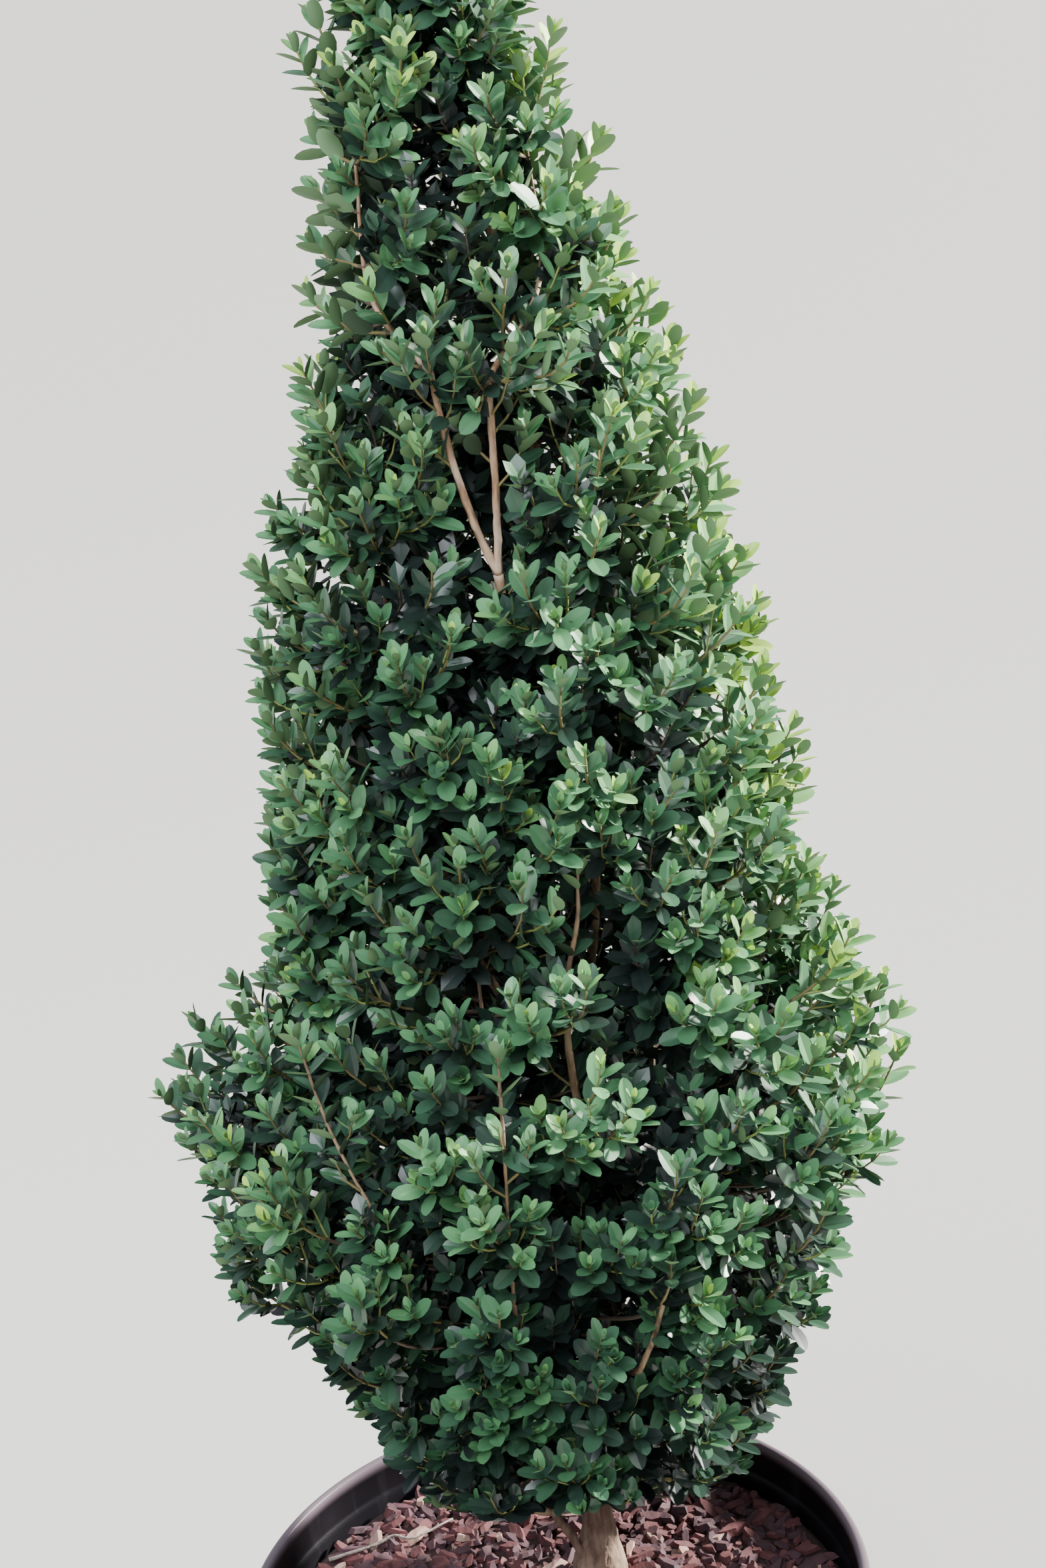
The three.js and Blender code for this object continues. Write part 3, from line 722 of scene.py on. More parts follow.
def directions_across(path):
    ways = np.gradient(path, axis=0)
    ways /= np.linalg.norm(ways, axis=1)[:, None]
    side = unit(np.cross(ways[0], (0.3, 1.0, 0.1)))
    sides = []
    for way in ways:
        side = square_to(way, side)
        sides.append(side)
    return np.array(sides), np.cross(ways, sides)


def limb(name, path, radii, sides, ridge, bark):
    angles = np.arange(sides) * 2 * math.pi / sides
    corners = []
    for place, radius, one, two, length in zip(path, radii, *directions_across(path), lengths_of(path)):
        for angle in angles:
            out = one * math.cos(angle) + two * math.sin(angle)
            grain = Vector(out * radius * GRAIN_ACROSS) + Vector((0, 0, length * GRAIN_ALONG))
            lift = 1 - 2 * abs(noise.fractal(grain, 0.7, 2.3, 4))
            knots = noise.noise(Vector(out * KNOTS_ACROSS) + Vector((0, 0, length * KNOTS_ALONG)))
            relief = ridge * (lift - CREST)
            corners.append((place + out * (radius + relief + knots * ridge * KNOT_SHARE)) * MM)
    count = len(path)
    corners += [path[0] * MM, path[-1] * MM]
    faces = [(i * sides + j, i * sides + (j + 1) % sides, (i + 1) * sides + (j + 1) % sides,
              (i + 1) * sides + j) for i in range(count - 1) for j in range(sides)]
    faces += [(count * sides, (j + 1) % sides, j) for j in range(sides)]
    last = (count - 1) * sides
    faces += [(count * sides + 1, last + j, last + (j + 1) % sides) for j in range(sides)]
    mesh = bpy.data.meshes.new(name)
    mesh.from_pydata([tuple(corner) for corner in corners], [], faces)
    mesh.materials.append(barks[bark])
    mesh.polygons.foreach_set("use_smooth", [True] * len(mesh.polygons))
    return piece_of(name, mesh)


def tapering(name, path, radii, tube, bark, nodes=()):
    sides, ridge = tube
    dress(limb(name, path, np.linspace(*radii, len(path)), sides, ridge, bark), nodes)


print("bark ridges", round(1 / GRAIN_ALONG), "mm long")

# %% Trunk, leader and fork
TRUNK_SIDES, TRUNK_RIDGE = 84, 0.7
LEADER_TUBE, FORK_TUBE, SMALL_TUBE = (28, 0.5), (18, 0.45), (14, 0.3)
TRUNK_RADII, FLARE, FLARE_HEIGHT = (9.6, 8), 9, 32
LEADER_RADII, BRANCH_RADII, DRY_RADII = (7.4, 2), (3.4, 1.6), (1.3, 0.7)
FORK_RADII = {"fork_stem": (3.0, 2.6), "fork_left": (2.3, 1.8), "fork_right": (2.3, 1.8)}
SIDE_BRANCH = [(26, 40, 10), (20, 38, 20), (12, 38, 38), (3, 38, 55), (-7, 34, 84)]
DRY_TWIG = [(-152, 84, 5), (-122, 93, 6), (-108, 99, 8), (-95, 97, 6), (-68, 115, 5)]

heights = trunk_path[:, 2] - SOIL_LEVEL
trunk_radii = np.interp(heights, (TRUNK_PATH[0][2], TRUNK_PATH[-1][2]), TRUNK_RADII)
trunk_radii += FLARE * np.exp(-((np.maximum(heights, 0) / FLARE_HEIGHT) ** 2))
trunk = limb("trunk_wood", trunk_path, trunk_radii, TRUNK_SIDES, TRUNK_RIDGE, "trunk_bark")
dress(trunk, ["trunk"])
for name, places, radii, bark in (("side_branch", SIDE_BRANCH, BRANCH_RADII, "trunk_bark"),
                                  ("dry_twig", DRY_TWIG, DRY_RADII, "dry_wood")):
    tapering(name, through([above_soil(place) for place in places]), radii, SMALL_TUBE, bark)
tapering("leader_wood", leader_path, LEADER_RADII, LEADER_TUBE, "bough_bark", ["leader"])
for name, radii in FORK_RADII.items():
    tapering(name + "_wood", limb_paths[name], radii, FORK_TUBE, "fork_bark", [name])

# %% Boughs and stems of the masses
BOUGH_TIP, STEM_FOOT, STEM_TIP, STEM_TUBE = 1.8, 1.9, 0.9, (10, 0.2)

for name, path in limb_paths.items():
    if name.startswith("bough"):
        foot = TIERS[name.split("_")[1]]["bough"]["radius"]
        tapering(name + "_wood", path, (foot, BOUGH_TIP), SMALL_TUBE, "bough_bark", [name])
for name, mass in masses.items():
    bark = "fork_bark" if name in FORK_LEGS else "bough_bark"
    tapering(f"stem_{name}_wood", mass["stem"], (STEM_FOOT, STEM_TIP), STEM_TUBE, bark)

# %% [markdown]
# ## Where leaves may grow
# The crown has an open lower edge, which rises to the front and to both sides, and no leaf hangs below it.
# A twig could start from the heart of its mass, but the lowest ones would then hang down. So each starts
# from the nearest wood that lies well below its tip, and rises as a real one does.

# %% Lower edge and wood
LOW_EDGE, FRONT_RISE, SIDE_RISE, SIDE_RISES_FROM = 55, 0.7, 0.35, 60
LEAST_RISE, FLATNESS_COST = 0.6, 3


def above_edge(place):
    front = max(0, TRUNK_PATH[0][1] - place[1]) * FRONT_RISE
    side = max(0, abs(place[0] - AXIS[0]) - SIDE_RISES_FROM) * SIDE_RISE
    return place[2] - SOIL_LEVEL > LOW_EDGE + front + side


def wood_points():
    limbs = [mass["stem"] for mass in masses.values()]
    for name, path in limb_paths.items():
        if name.startswith("bough") or name == "leader":
            limbs.append(path[len(path) // 3:])
    return np.vstack(limbs)


WOOD = wood_points()


def start_of(tip):
    away = tip - WOOD
    too_flat = np.maximum(np.hypot(away[:, 0], away[:, 1]) * LEAST_RISE - away[:, 2], 0)
    return WOOD[int((np.linalg.norm(away, axis=1) + FLATNESS_COST * too_flat).argmin())]


print(len(WOOD), "points of wood that a twig can start from")

# %% [markdown]
# ## Bare stems in the front
# The fork and four thin stems show bare in the front of the crown, where few leaves cover them. Leaves
# could be taken off by hand, but the next change of a size would cover the stems again. So each bare
# stretch is a row of open places, and no leaf or shoot may come near the straight line from there to the
# camera.

# %% Front stems
FRONT_STEMS = {
    "long_stem": {
        "places": [(-6, -112, 270), (-3, -134, 304), (-1, -152, 363), (2, -154, 426), (4, -146, 478)],
        "bare": [(302, 356), (390, 408), (432, 444)], "radius": 1.6, "window": 4.5},
    "left_stem": {
        "places": [(-68, -116, 350), (-74, -131, 384), (-85, -126, 411), (-95, -111, 435), (-106, -98, 480)],
        "bare": [(390, 424)], "radius": 1.2, "window": 4.5},
    "right_stem": {
        "places": [(62, -116, 255), (67, -125, 269), (75, -131, 292), (84, -135, 326), (92, -132, 365)],
        "bare": [(276, 312)], "radius": 2.5, "window": 4.5},
    "deep_stem": {
        "places": [(45, -84, 380), (44, -100, 416), (42, -104, 458), (46, -103, 500), (54, -96, 528),
                   (57, -90, 560)],
        "bare": [(426, 466), (520, 542)], "radius": 3.7, "window": 9},
}
FRONT_TUBE = (12, 0.3)
front_stems = {}
for name, stem in FRONT_STEMS.items():
    places = [above_soil(place) for place in stem["places"]]
    front_stems[name] = through([start_of(places[0]), *places])
    tapering(name + "_wood", front_stems[name], (stem["radius"], STEM_TIP), FRONT_TUBE, "stem_bark")

# %% Open places
LEG_WINDOW, WINDOW_TOP, BEHIND_STEM = 8, {"fork_left": 68, "fork_right": 84}, 6


def is_bare(place, stretches):
    return any(low < place[2] - SOIL_LEVEL < high for low, high in stretches)


openings = []
for name, top in WINDOW_TOP.items():
    openings += [(place, LEG_WINDOW) for place in limb_paths[name][::2] if place[2] < FORK[2] + top]
for name, stem in FRONT_STEMS.items():
    openings += [(place, stem["window"]) for place in front_stems[name][::2] if is_bare(place, stem["bare"])]
open_places = np.array([place for place, _ in openings])
open_widths = np.array([width for _, width in openings])
to_eye = np.array(EYE) / MM - open_places
to_eye /= np.linalg.norm(to_eye, axis=1)[:, None]


def in_window(place):
    away = place - open_places
    along = (away * to_eye).sum(axis=1)
    beside = np.linalg.norm(away - to_eye * np.maximum(along, 0)[:, None], axis=1)
    return bool(np.any((along > -BEHIND_STEM) & (beside < open_widths)))


print(len(open_places), "open places in front of the bare stems")

# %% [markdown]
# ## How a shoot grows
# A boxwood shoot carries its leaves in opposite pairs, each pair turned a quarter from the last. Near the
# tip the pairs are close, small and upright, and further down they are full size and spread. One modelled
# shoot could be copied all over the crown, but its copies would show. So every pair is placed by the lists
# below, which run from the tip downwards, with a little chance in angle and size. A leaf's age shifts the
# tone of its spray: tips are pale, old leaves are deep blue-green, and now and then an old leaf is yellow.
# The darkening down the shoot is partly age and partly painted shade from the pairs above.

# %% Sizes along a shoot
NODE_GAPS = (1.2, 3.5, 5.5, 7.5, 9, 10)
PAIR_ANGLES = (14, 28, 39, 46, 51, 55)
LEAF_SIZES = (8, 14, 18, 19.5, 20, 20)
# Darker tints down the shoot: partly age, partly painted shade of the pairs above.
LEAF_AGES_AND_SHADE = (-0.7, 0, 0.6, 1.6, 2.5, 3.1)
MOST_PAIRS = 60


def tapered(values, i):
    return values[min(i, len(values) - 1)]


pairs = int((np.cumsum([tapered(NODE_GAPS, i) for i in range(MOST_PAIRS)]) < 60).sum())
print("a leafy stretch of 60 mm carries", pairs, "pairs")

# %% One leaf
GROWTH_SEED = 23
rng = np.random.default_rng(GROWTH_SEED)
FACE_LIFT, FACE_SPREAD, LEAF_MIDDLE, YELLOWED, YOUNG_SHAPES = 0.35, 0.14, 0.6, 0.002, 3
TIP_TINT, TINT_SPREAD, OLDEST_TINT, YOUNGEST_TINT = 4.2, 0.3, 0, 6
leaves = {label: [] for label in ("root", "along", "face", "size", "shape", "tint", "tier")}


def add_leaf(root, way, lateral, angle, size, tone, age_and_shade, tier, old):
    along = way * math.cos(angle) + lateral * math.sin(angle)
    face = way * math.sin(angle) - lateral * math.cos(angle)
    face[2] = abs(face[2])
    face = unit(face + UP * FACE_LIFT + rng.normal(0, FACE_SPREAD, 3))
    middle = root + along * size * LEAF_MIDDLE
    if not above_edge(middle) or in_window(middle):
        return
    tint = round(TIP_TINT + tone - age_and_shade + rng.normal(0, TINT_SPREAD))
    tint = int(np.clip(tint, OLDEST_TINT, YOUNGEST_TINT))
    if old == 1 and rng.random() < YELLOWED:
        tint = YOUNGEST_TINT + 1
    shape = YOUNG_SHAPES + old - 1 if old else int(rng.integers(0, YOUNG_SHAPES))
    for values, value in zip(leaves.values(), (root, along, face, size, shape, tint, tier)):
        values.append(value)


print("tints run from", OLDEST_TINT, "to", YOUNGEST_TINT, "and one more is yellow")

# %% Leaves along a shoot
LEAF_KEPT, OLD_LOSS, BARE_FOOT, AHEAD, WAY_SPAN = 0.97, 0.25, 2, 2, 3
ANGLE_SPREAD, SIDE_SPREAD, SIZE_SPREAD = 6, 0.12, (0.85, 1.1)


def on_path(path, lengths, at):
    def place_at(length):
        return np.array([np.interp(length, lengths, path[:, k]) for k in range(3)])

    ahead = min(at + AHEAD, lengths[-1])
    return place_at(at), unit(place_at(ahead) - place_at(max(ahead - WAY_SPAN, 0)))


def leafy(path, leafy_length, tone, tier, vigour, old=0):
    lengths = lengths_of(path)
    total = lengths[-1]
    side = unit(np.cross(unit(path[-1] - path[0]), rng.normal(0, 1, 3)))
    nodes, down = [], 0.0
    for i in range(MOST_PAIRS):
        down += tapered(NODE_GAPS, i) * vigour
        if down > min(leafy_length, total - BARE_FOOT):
            break
        place, way = on_path(path, lengths, total - down)
        side = unit(np.cross(way, square_to(way, side)))
        angle = math.radians(tapered(PAIR_ANGLES, i + old) + rng.normal(0, ANGLE_SPREAD))
        size = tapered(LEAF_SIZES, i + old) * vigour * rng.uniform(*SIZE_SPREAD)
        kept = LEAF_KEPT - OLD_LOSS * (down / leafy_length) * (old > 0)
        for lateral in (side, -side):
            if rng.random() < kept:
                turned_side = square_to(way, unit(lateral + rng.normal(0, SIDE_SPREAD, 3)))
                add_leaf(place, way, turned_side, angle, size, tone, tapered(LEAF_AGES_AND_SHADE, i) + old, tier, old)
        nodes.append((down, place, way, side))
    return nodes


print("of the young leaves", round(100 * LEAF_KEPT), "percent are kept")

# %% [markdown]
# ## Sprays over the crown
# A spray is one twig from the wood to a spot on the crown's outline, with shoots that leave its axils and
# bend upwards. Random spots would leave bald places, so they are dealt out evenly by the golden angle, as
# the seeds of a sunflower are. Three layers lie inside each other: fresh tips outside, darker leaves behind
# them, and old ones round the wood, which close the view; the inner layers are darker partly by age and
# partly as painted shade. The side that faces the sun gets paler tints as painted sunlight, and the foot
# gets darker tints as painted shade, with the top a little paler.

# %% Side shoots
YOUNG_TWIG, TAN_TWIG, GREY_TWIG, TWIG_THINNING = 0, 1, 2, 4
SHOOT_SPACING, SHOOT_STEP, SHOOT_FOOT, SHOOT_TIP, SHOOT_LEAFY = 16, 2.5, 0.9, 0.5, 0.95
SHOOT_START, SHOOT_GAIN, LONGEST_SHOOT = 13, 0.5, 46
SHOOT_VARIES, SHOOT_TONE_SPREAD = (0.8, 1.2), 0.25
SHOOT_SPREAD, SHOOT_ELBOW, SHOOT_END = 0.95, 0.45, 0.55
START_SHARE, UP_SHARE, WAY_SHARE = 0.5, 0.75, 0.3
twigs = []


class ShootTips:
    def __init__(self):
        self.places = np.empty((0, 3))

    def add(self, tip):
        self.places = np.vstack((self.places, tip))

    def leave_room(self, tip):
        return not len(self.places) or np.linalg.norm(self.places - tip, axis=1).min() > SHOOT_SPACING


def add_twig(path, foot, tip, order):
    count = max(3, int(len(path) / TWIG_THINNING))
    shares = np.linspace(0, len(path) - 1, count).round().astype(int)
    thick = foot + (tip - foot) * np.linspace(0, 1, count)
    twigs.append((path[shares], thick, order))


def side_shoots(node, tone, tier, vigour, share, old):
    down, place, way, side = node
    for lateral in (side, -side):
        length = min(SHOOT_GAIN * down + SHOOT_START, LONGEST_SHOOT) * rng.uniform(*SHOOT_VARIES)
        if rng.random() > share:
            continue
        start_way = unit(way + lateral * SHOOT_SPREAD)
        end_way = unit(start_way * START_SHARE + UP * UP_SHARE + way * WAY_SHARE)
        elbow = place + start_way * length * SHOOT_ELBOW
        end = elbow + end_way * length * SHOOT_END
        hidden = in_window(end) or in_window(elbow)
        if hidden or not above_edge(end) or not shoot_tips.leave_room(end):
            continue
        shoot_tips.add(end)
        path = bent(place, elbow, end, SHOOT_STEP)
        add_twig(path, SHOOT_FOOT, SHOOT_TIP, YOUNG_TWIG)
        leafy(path, length * SHOOT_LEAFY, tone + rng.normal(0, SHOOT_TONE_SPREAD), tier, vigour, old)


shoot_tips = ShootTips()
print("side shoots are about", SHOOT_START, "to", LONGEST_SHOOT, "mm long")

# %% Sprays
SPRAY_RISE, RISE_SPREAD, TURN_SPREAD, LEAVES_PAST_TIP, SHOOTS_FROM = 64, 12, 20, 8, 3
TWIG_RADII, VIGOURS = (1.6, 1.1, 0.6), (0.9, 1.08)
SPRAY_ELBOW, LATE, MOST_LEAFY = 0.5, 0.8, 0.9
HEARTS = np.array([mass["heart"] for mass in masses.values()])


def spray(height, bearing, reach, leafy_length, tone, share, old=0):
    target = on_crown(height, bearing, reach)
    tier = list(masses.values())[int(np.linalg.norm(HEARTS - target, axis=1).argmin())]["tier"]
    steep = math.radians(SPRAY_RISE + rng.uniform(-RISE_SPREAD, RISE_SPREAD))
    level = outward(bearing + rng.uniform(-TURN_SPREAD, TURN_SPREAD))
    heading = level * math.cos(steep) + UP * math.sin(steep)
    tip = target - heading * LEAVES_PAST_TIP
    start = start_of(tip)
    elbow = tip - heading * np.linalg.norm(tip - start) * SPRAY_ELBOW
    path = bent(start, elbow, tip)
    late = path[int(len(path) * LATE)]
    if not above_edge(late) or in_window(tip) or in_window(late):
        return
    shoot_tips.add(tip)
    bare, young, end = TWIG_RADII
    leafy_from = int(len(path) * (1 - min(leafy_length / lengths_of(path)[-1], MOST_LEAFY)))
    add_twig(path[:leafy_from + 1], bare, young, GREY_TWIG)
    add_twig(path[leafy_from:], young, end, GREY_TWIG if old else TAN_TWIG)
    vigour = rng.uniform(*VIGOURS)
    for node in leafy(path, leafy_length, tone, tier, vigour, old)[SHOOTS_FROM:]:
        side_shoots(node, tone, tier, vigour, share, old)


print("a spray rises at about", SPRAY_RISE, "degrees and tapers to", TWIG_RADII[-1], "mm")

# %% Layers of sprays
# The inner layers' lower tones are partly the darker colour of older leaves and partly painted shade for the
# inside of the crown.
LAYERS = [
    {"sprays": 420, "reach": (0.92, 1.03), "leafy": (60, 85), "share": 0.55,
     "tone": 0.0, "spread": 0.55, "old": 0},
    {"sprays": 350, "reach": (0.66, 0.88), "leafy": (90, 130), "share": 0.5,
     "tone": -1.7, "spread": 0.4, "old": 1},
    {"sprays": 440, "reach": (0.1, 0.64), "leafy": (110, 160), "share": 0.5,
     "tone": -2.2, "spread": 0.3, "old": 2},
]
GOLDEN_ANGLE, LAYER_TURN, SPOT_SPREAD, TIP_SHARE = 137.508, 50, 8, 28
SUN = unit(np.array((0.86, 0.3, 0.46)))
# Painted light and shade in the leaf tints: sprays facing the sun get paler tints as painted sunlight, low
# ones darker tints as painted shade, the top a little paler.
SUNLIT_PAINTED_TONES = ((200, 380), (0, 3.1))
HEIGHT_PAINTED_LIGHT_SHADE = ((60, 250, 450, 700, 950), (-2.3, -1.45, -0.1, 0, 0.4))


def crown_spots(count, turn):
    heights = np.arange(ENVELOPE[0, 0], ENVELOPE[-1, 0]) + 0.5
    swept = np.cumsum(envelope(heights) + TIP_SHARE)
    return [(float(np.interp((i + 0.5) / count, swept / swept[-1], heights)), i * GOLDEN_ANGLE + turn)
            for i in range(count)]


# Paler tints on the sun side and darker ones at the foot: painted light and shade.
def painted_light_tone_at(height, bearing):
    facing_sun = max(0, float(np.dot(outward(bearing), SUN))) ** 2
    return facing_sun * np.interp(height, *SUNLIT_PAINTED_TONES) + np.interp(height, *HEIGHT_PAINTED_LIGHT_SHADE)


for i, layer in enumerate(LAYERS):
    for height, bearing in crown_spots(layer["sprays"], LAYER_TURN * i):
        spray(height + rng.uniform(-SPOT_SPREAD, SPOT_SPREAD),
              bearing + rng.uniform(-SPOT_SPREAD, SPOT_SPREAD),
              rng.uniform(*layer["reach"]), rng.uniform(*layer["leafy"]),
              layer["tone"] + rng.normal(0, layer["spread"]) + painted_light_tone_at(height, bearing),
              layer["share"], layer["old"])
    print("layer", i, len(leaves["root"]), "leaves", len(twigs), "twigs")

# %% [markdown]
# ## Thin places and shoots on the bare stems
# Chance leaves a few thin places in the front, where the real crown is closed. More sprays everywhere would
# make the whole crown too heavy, so these places get sprays of their own. The bare stems carry short leafy
# shoots, and leaves above their lowest bare stretch. Each shoot has a height on its stem, a bearing, a
# length and a tone.

# %% Filled places and stem shoots
FILLED_PLACES = [(292, -101, 0.97), (276, -97, 0.98), (262, -103, 0.97), (300, -107, 0.95), (284, -99, 0.9),
                 (350, -122, 0.97), (338, -128, 0.96), (300, -62, 0.96), (262, -66, 0.97),
                 (668, -84, 0.93), (655, -103, 0.95), (640, -93, 0.97), (612, -80, 0.97), (600, -98, 0.98),
                 (575, -90, 0.96), (690, -112, 0.93), (690, -70, 0.92), (655, -90, 0.75), (620, -88, 0.7),
                 (580, -95, 0.72)]
STEM_SHOOTS = {
    "fork_left": [(770, -160, 34, -0.8), (794, -60, 42, -0.4), (801, -140, 46, -0.2), (813, -95, 40, 0.2),
                  (782, 20, 38, -1.0)],
    "fork_right": [(757, -10, 40, -0.2), (770, 170, 34, -0.9), (796, -50, 44, 0.0), (806, -120, 44, 0.2),
                   (786, 10, 48, -0.3)],
    "long_stem": [(344, 175, 48, 0.1), (350, -10, 36, -0.3), (368, -85, 26, 0.0), (396, -150, 36, 0.2),
                  (404, -30, 36, 0.3), (422, -95, 28, 0.1)],
    "left_stem": [(396, -150, 26, -0.5), (418, -40, 28, -0.4)],
    "deep_stem": [(470, -90, 40, -0.6), (430, -165, 34, -1.2)],
    "fork_stem": [(680, -110, 36, -0.5), (694, -50, 34, -0.4)],
}
STEM_TONE, STEM_VIGOUR = 0.2, 0.95
ELBOW_OUTWARD, ELBOW_UPWARD, END_OUTWARD, END_UPWARD = 0.4, 0.3, 0.5, 0.85

for height, bearing, reach in FILLED_PLACES:
    layer = LAYERS[0] if reach > 0.9 else LAYERS[1]
    spray(height, bearing, reach, layer["leafy"][1], layer["tone"], layer["share"], layer["old"])
for name, shoots in STEM_SHOOTS.items():
    tier = "middle" if name in front_stems else "high"
    for height, bearing, length, tone in shoots:
        start = at_height({**limb_paths, **front_stems}[name], height)
        elbow = start + outward(bearing) * length * ELBOW_OUTWARD + UP * length * ELBOW_UPWARD
        end = start + UP * length * END_UPWARD + outward(bearing) * length * END_OUTWARD
        path = bent(start, elbow, end, SHOOT_STEP)
        add_twig(path, SHOOT_FOOT, SHOOT_TIP, TAN_TWIG)
        leafy(path, length * SHOOT_LEAFY, tone, tier, STEM_VIGOUR)
for name, path in front_stems.items():
    lowest_bare = FRONT_STEMS[name]["bare"][0][0]
    leafy(path, path[-1, 2] - SOIL_LEVEL - lowest_bare, STEM_TONE, "middle", STEM_VIGOUR)
print(len(leaves["root"]), "leaves and", len(twigs), "twigs in all")

# %% [markdown]
# ## Twigs
# Young shoots are green-yellow, older twigs tan and inner ones grey-brown. Each could be a tube made in
# Python, as the limbs are, but thousands of them need few faces and one quick rule. So they are open paths:
# the node tree turns each into a curve, gives it the stored thickness and sweeps a small profile of four
# sides along it.


# %% Twig pieces
def plain(name, base, roughness=0.5, sheen=0.0):
    return Paint(name).finish(Base_Color=base, Roughness=roughness, Specular_IOR_Level=0.4 + sheen)


TWIG_SIDES = 4
TWIG_FINISHES = [
    plain("young_shoot", colour(0.22, 0.24, 0.07)),
    plain("tan_twig", colour(0.16, 0.13, 0.05), 0.7),
    plain("grey_twig", colour(0.075, 0.052, 0.036), 0.8),
]


def twig_tree():
    labels = {f"Finish {i}": "Material" for i in range(len(TWIG_FINISHES))}
    growth = Growth("twigs", {"Sides": "Int", **labels})
    curves = growth.node("GeometryNodeMeshToCurve", {}, {"Mesh": growth.given["Geometry"]})
    profile = growth.node("GeometryNodeCurvePrimitiveCircle", {}, {
        "Resolution": growth.given["Sides"], "Radius": 1.0})
    swept = growth.node("GeometryNodeCurveToMesh", {}, {
        "Curve": curves, "Profile Curve": profile, "Scale": growth.attribute("thick"), "Fill Caps": True})
    real = growth.node("GeometryNodeRealizeInstances", {}, {"Geometry": swept})
    for i in range(len(TWIG_FINISHES)):
        chosen = growth.compare("EQUAL", growth.attribute("order", "INT"), i)
        real = growth.finished(real, growth.given[f"Finish {i}"], chosen)
    return growth.end(real)


def twig_paths(name):
    paths, radii, orders = zip(*twigs)
    counts = [len(path) for path in paths]
    starts = np.cumsum([0] + counts)
    edges = [(i, i + 1) for a, b in zip(starts, starts[1:]) for i in range(a, b - 1)]
    mesh = bpy.data.meshes.new(name)
    mesh.from_pydata([tuple(corner) for corner in np.vstack(paths) * MM], edges, [])
    thick = mesh.attributes.new("thick", "FLOAT", "POINT")
    thick.data.foreach_set("value", np.concatenate(radii) * MM)
    order = mesh.attributes.new("order", "INT", "POINT")
    order.data.foreach_set("value", np.repeat(orders, counts))
    return piece_of(name, mesh)


twig_wood = grown("twigs", twig_paths("twig_paths"), twig_tree(), {
    "Sides": TWIG_SIDES, **{f"Finish {i}": finish for i, finish in enumerate(TWIG_FINISHES)}})
dress(twig_wood)

# %% [markdown]
# ## Leaves
# A boxwood leaf is a small stiff oval, folded a little along its rib and curved down towards its tip. Its
# top is glossy and dark, its underside pale and dull. A flat card with see-through edges would be lighter,
# but it looks like paper from close by. So each leaf is a thin closed body of a few faces, with a sharp
# edge all round and along the rib. There are three young shapes, and two plainer ones for old and for inner
# leaves.


# %% Leaf shapes
LEAF_THICKNESS = 0.03


def leaf_shape(name, stations, fold, droop):
    corners, top = [(0, 0, 0), (1, 0, droop)], []
    for along, half in stations:
        sag = droop * along**2
        corners += [(along, half, sag + fold * half), (along, 0, sag), (along, -half, sag + fold * half)]
    left, rib, right = ([2 + k + 3 * i for i in range(len(stations))] for k in range(3))
    for edge, side in ((left, 1), (right, -1)):
        rows = [(0, edge[0], rib[0]), *zip(rib, edge, edge[1:], rib[1:]), (rib[-1], edge[-1], 1)]
        top += [row[::-side] for row in rows]
    corners.append((0.5, 0, droop * 0.5**2 - LEAF_THICKNESS))
    below = len(corners) - 1
    rim = [0, *left, 1, *right[::-1]]
    under = [(below, a, b) for a, b in zip(rim, rim[1:] + rim[:1])]
    mesh = bpy.data.meshes.new(name)
    mesh.from_pydata(corners, [], top + under)
    mesh.polygons.foreach_set("use_smooth", [True] * len(mesh.polygons))
    flags = [False] * len(top) + [True] * len(under)
    mesh.attributes.new("under", "BOOLEAN", "FACE").data.foreach_set("value", flags)
    sharp = {tuple(sorted(pair)) for pair in zip(rim, rim[1:] + rim[:1])}
    sharp |= {tuple(sorted(pair)) for pair in zip([0, *rib], [*rib, 1])}
    creases = [tuple(sorted(edge.vertices)) in sharp for edge in mesh.edges]
    mesh.attributes.new("sharp_edge", "BOOLEAN", "EDGE").data.foreach_set("value", creases)
    return bpy.data.objects.new(name, mesh)


LEAF_SHAPES = {
    "leaf_0_oval": ([(0.08, 0.09), (0.26, 0.205), (0.52, 0.25), (0.77, 0.21), (0.93, 0.115)], 0.22, -0.05),
    "leaf_1_broad": ([(0.08, 0.1), (0.26, 0.225), (0.52, 0.27), (0.77, 0.23), (0.93, 0.13)], 0.15, -0.09),
    "leaf_2_slim": ([(0.09, 0.08), (0.28, 0.185), (0.53, 0.225), (0.77, 0.19), (0.93, 0.105)], 0.28, 0.0),
    "leaf_3_old": ([(0.28, 0.22), (0.72, 0.25)], 0.15, -0.14),
    "leaf_4_inner": ([(0.5, 0.29)], 0.1, -0.14),
}
leaf_shapes = bpy.data.collections.new("leaf_shapes")
for name, (stations, fold, droop) in LEAF_SHAPES.items():
    leaf_shapes.objects.link(leaf_shape(name, stations, fold, droop))

# %% [markdown]
# ## Tints and leaf pieces
# Leaves change from yellow-green to deep blue-green with age; the nearly black tints of the oldest,
# innermost leaves are partly painted shade of the crown's inside. One finish with a pattern could change
# over the whole crown, but the change goes from leaf to leaf, so there are eight plain tints, and each leaf
# has one. The node tree puts a shape on each stored point, turns it along its stored directions and gives
# out the tints, with dull undersides, darker below the oldest leaves as painted shade. Each tier of the
# crown becomes a few pieces of its own.

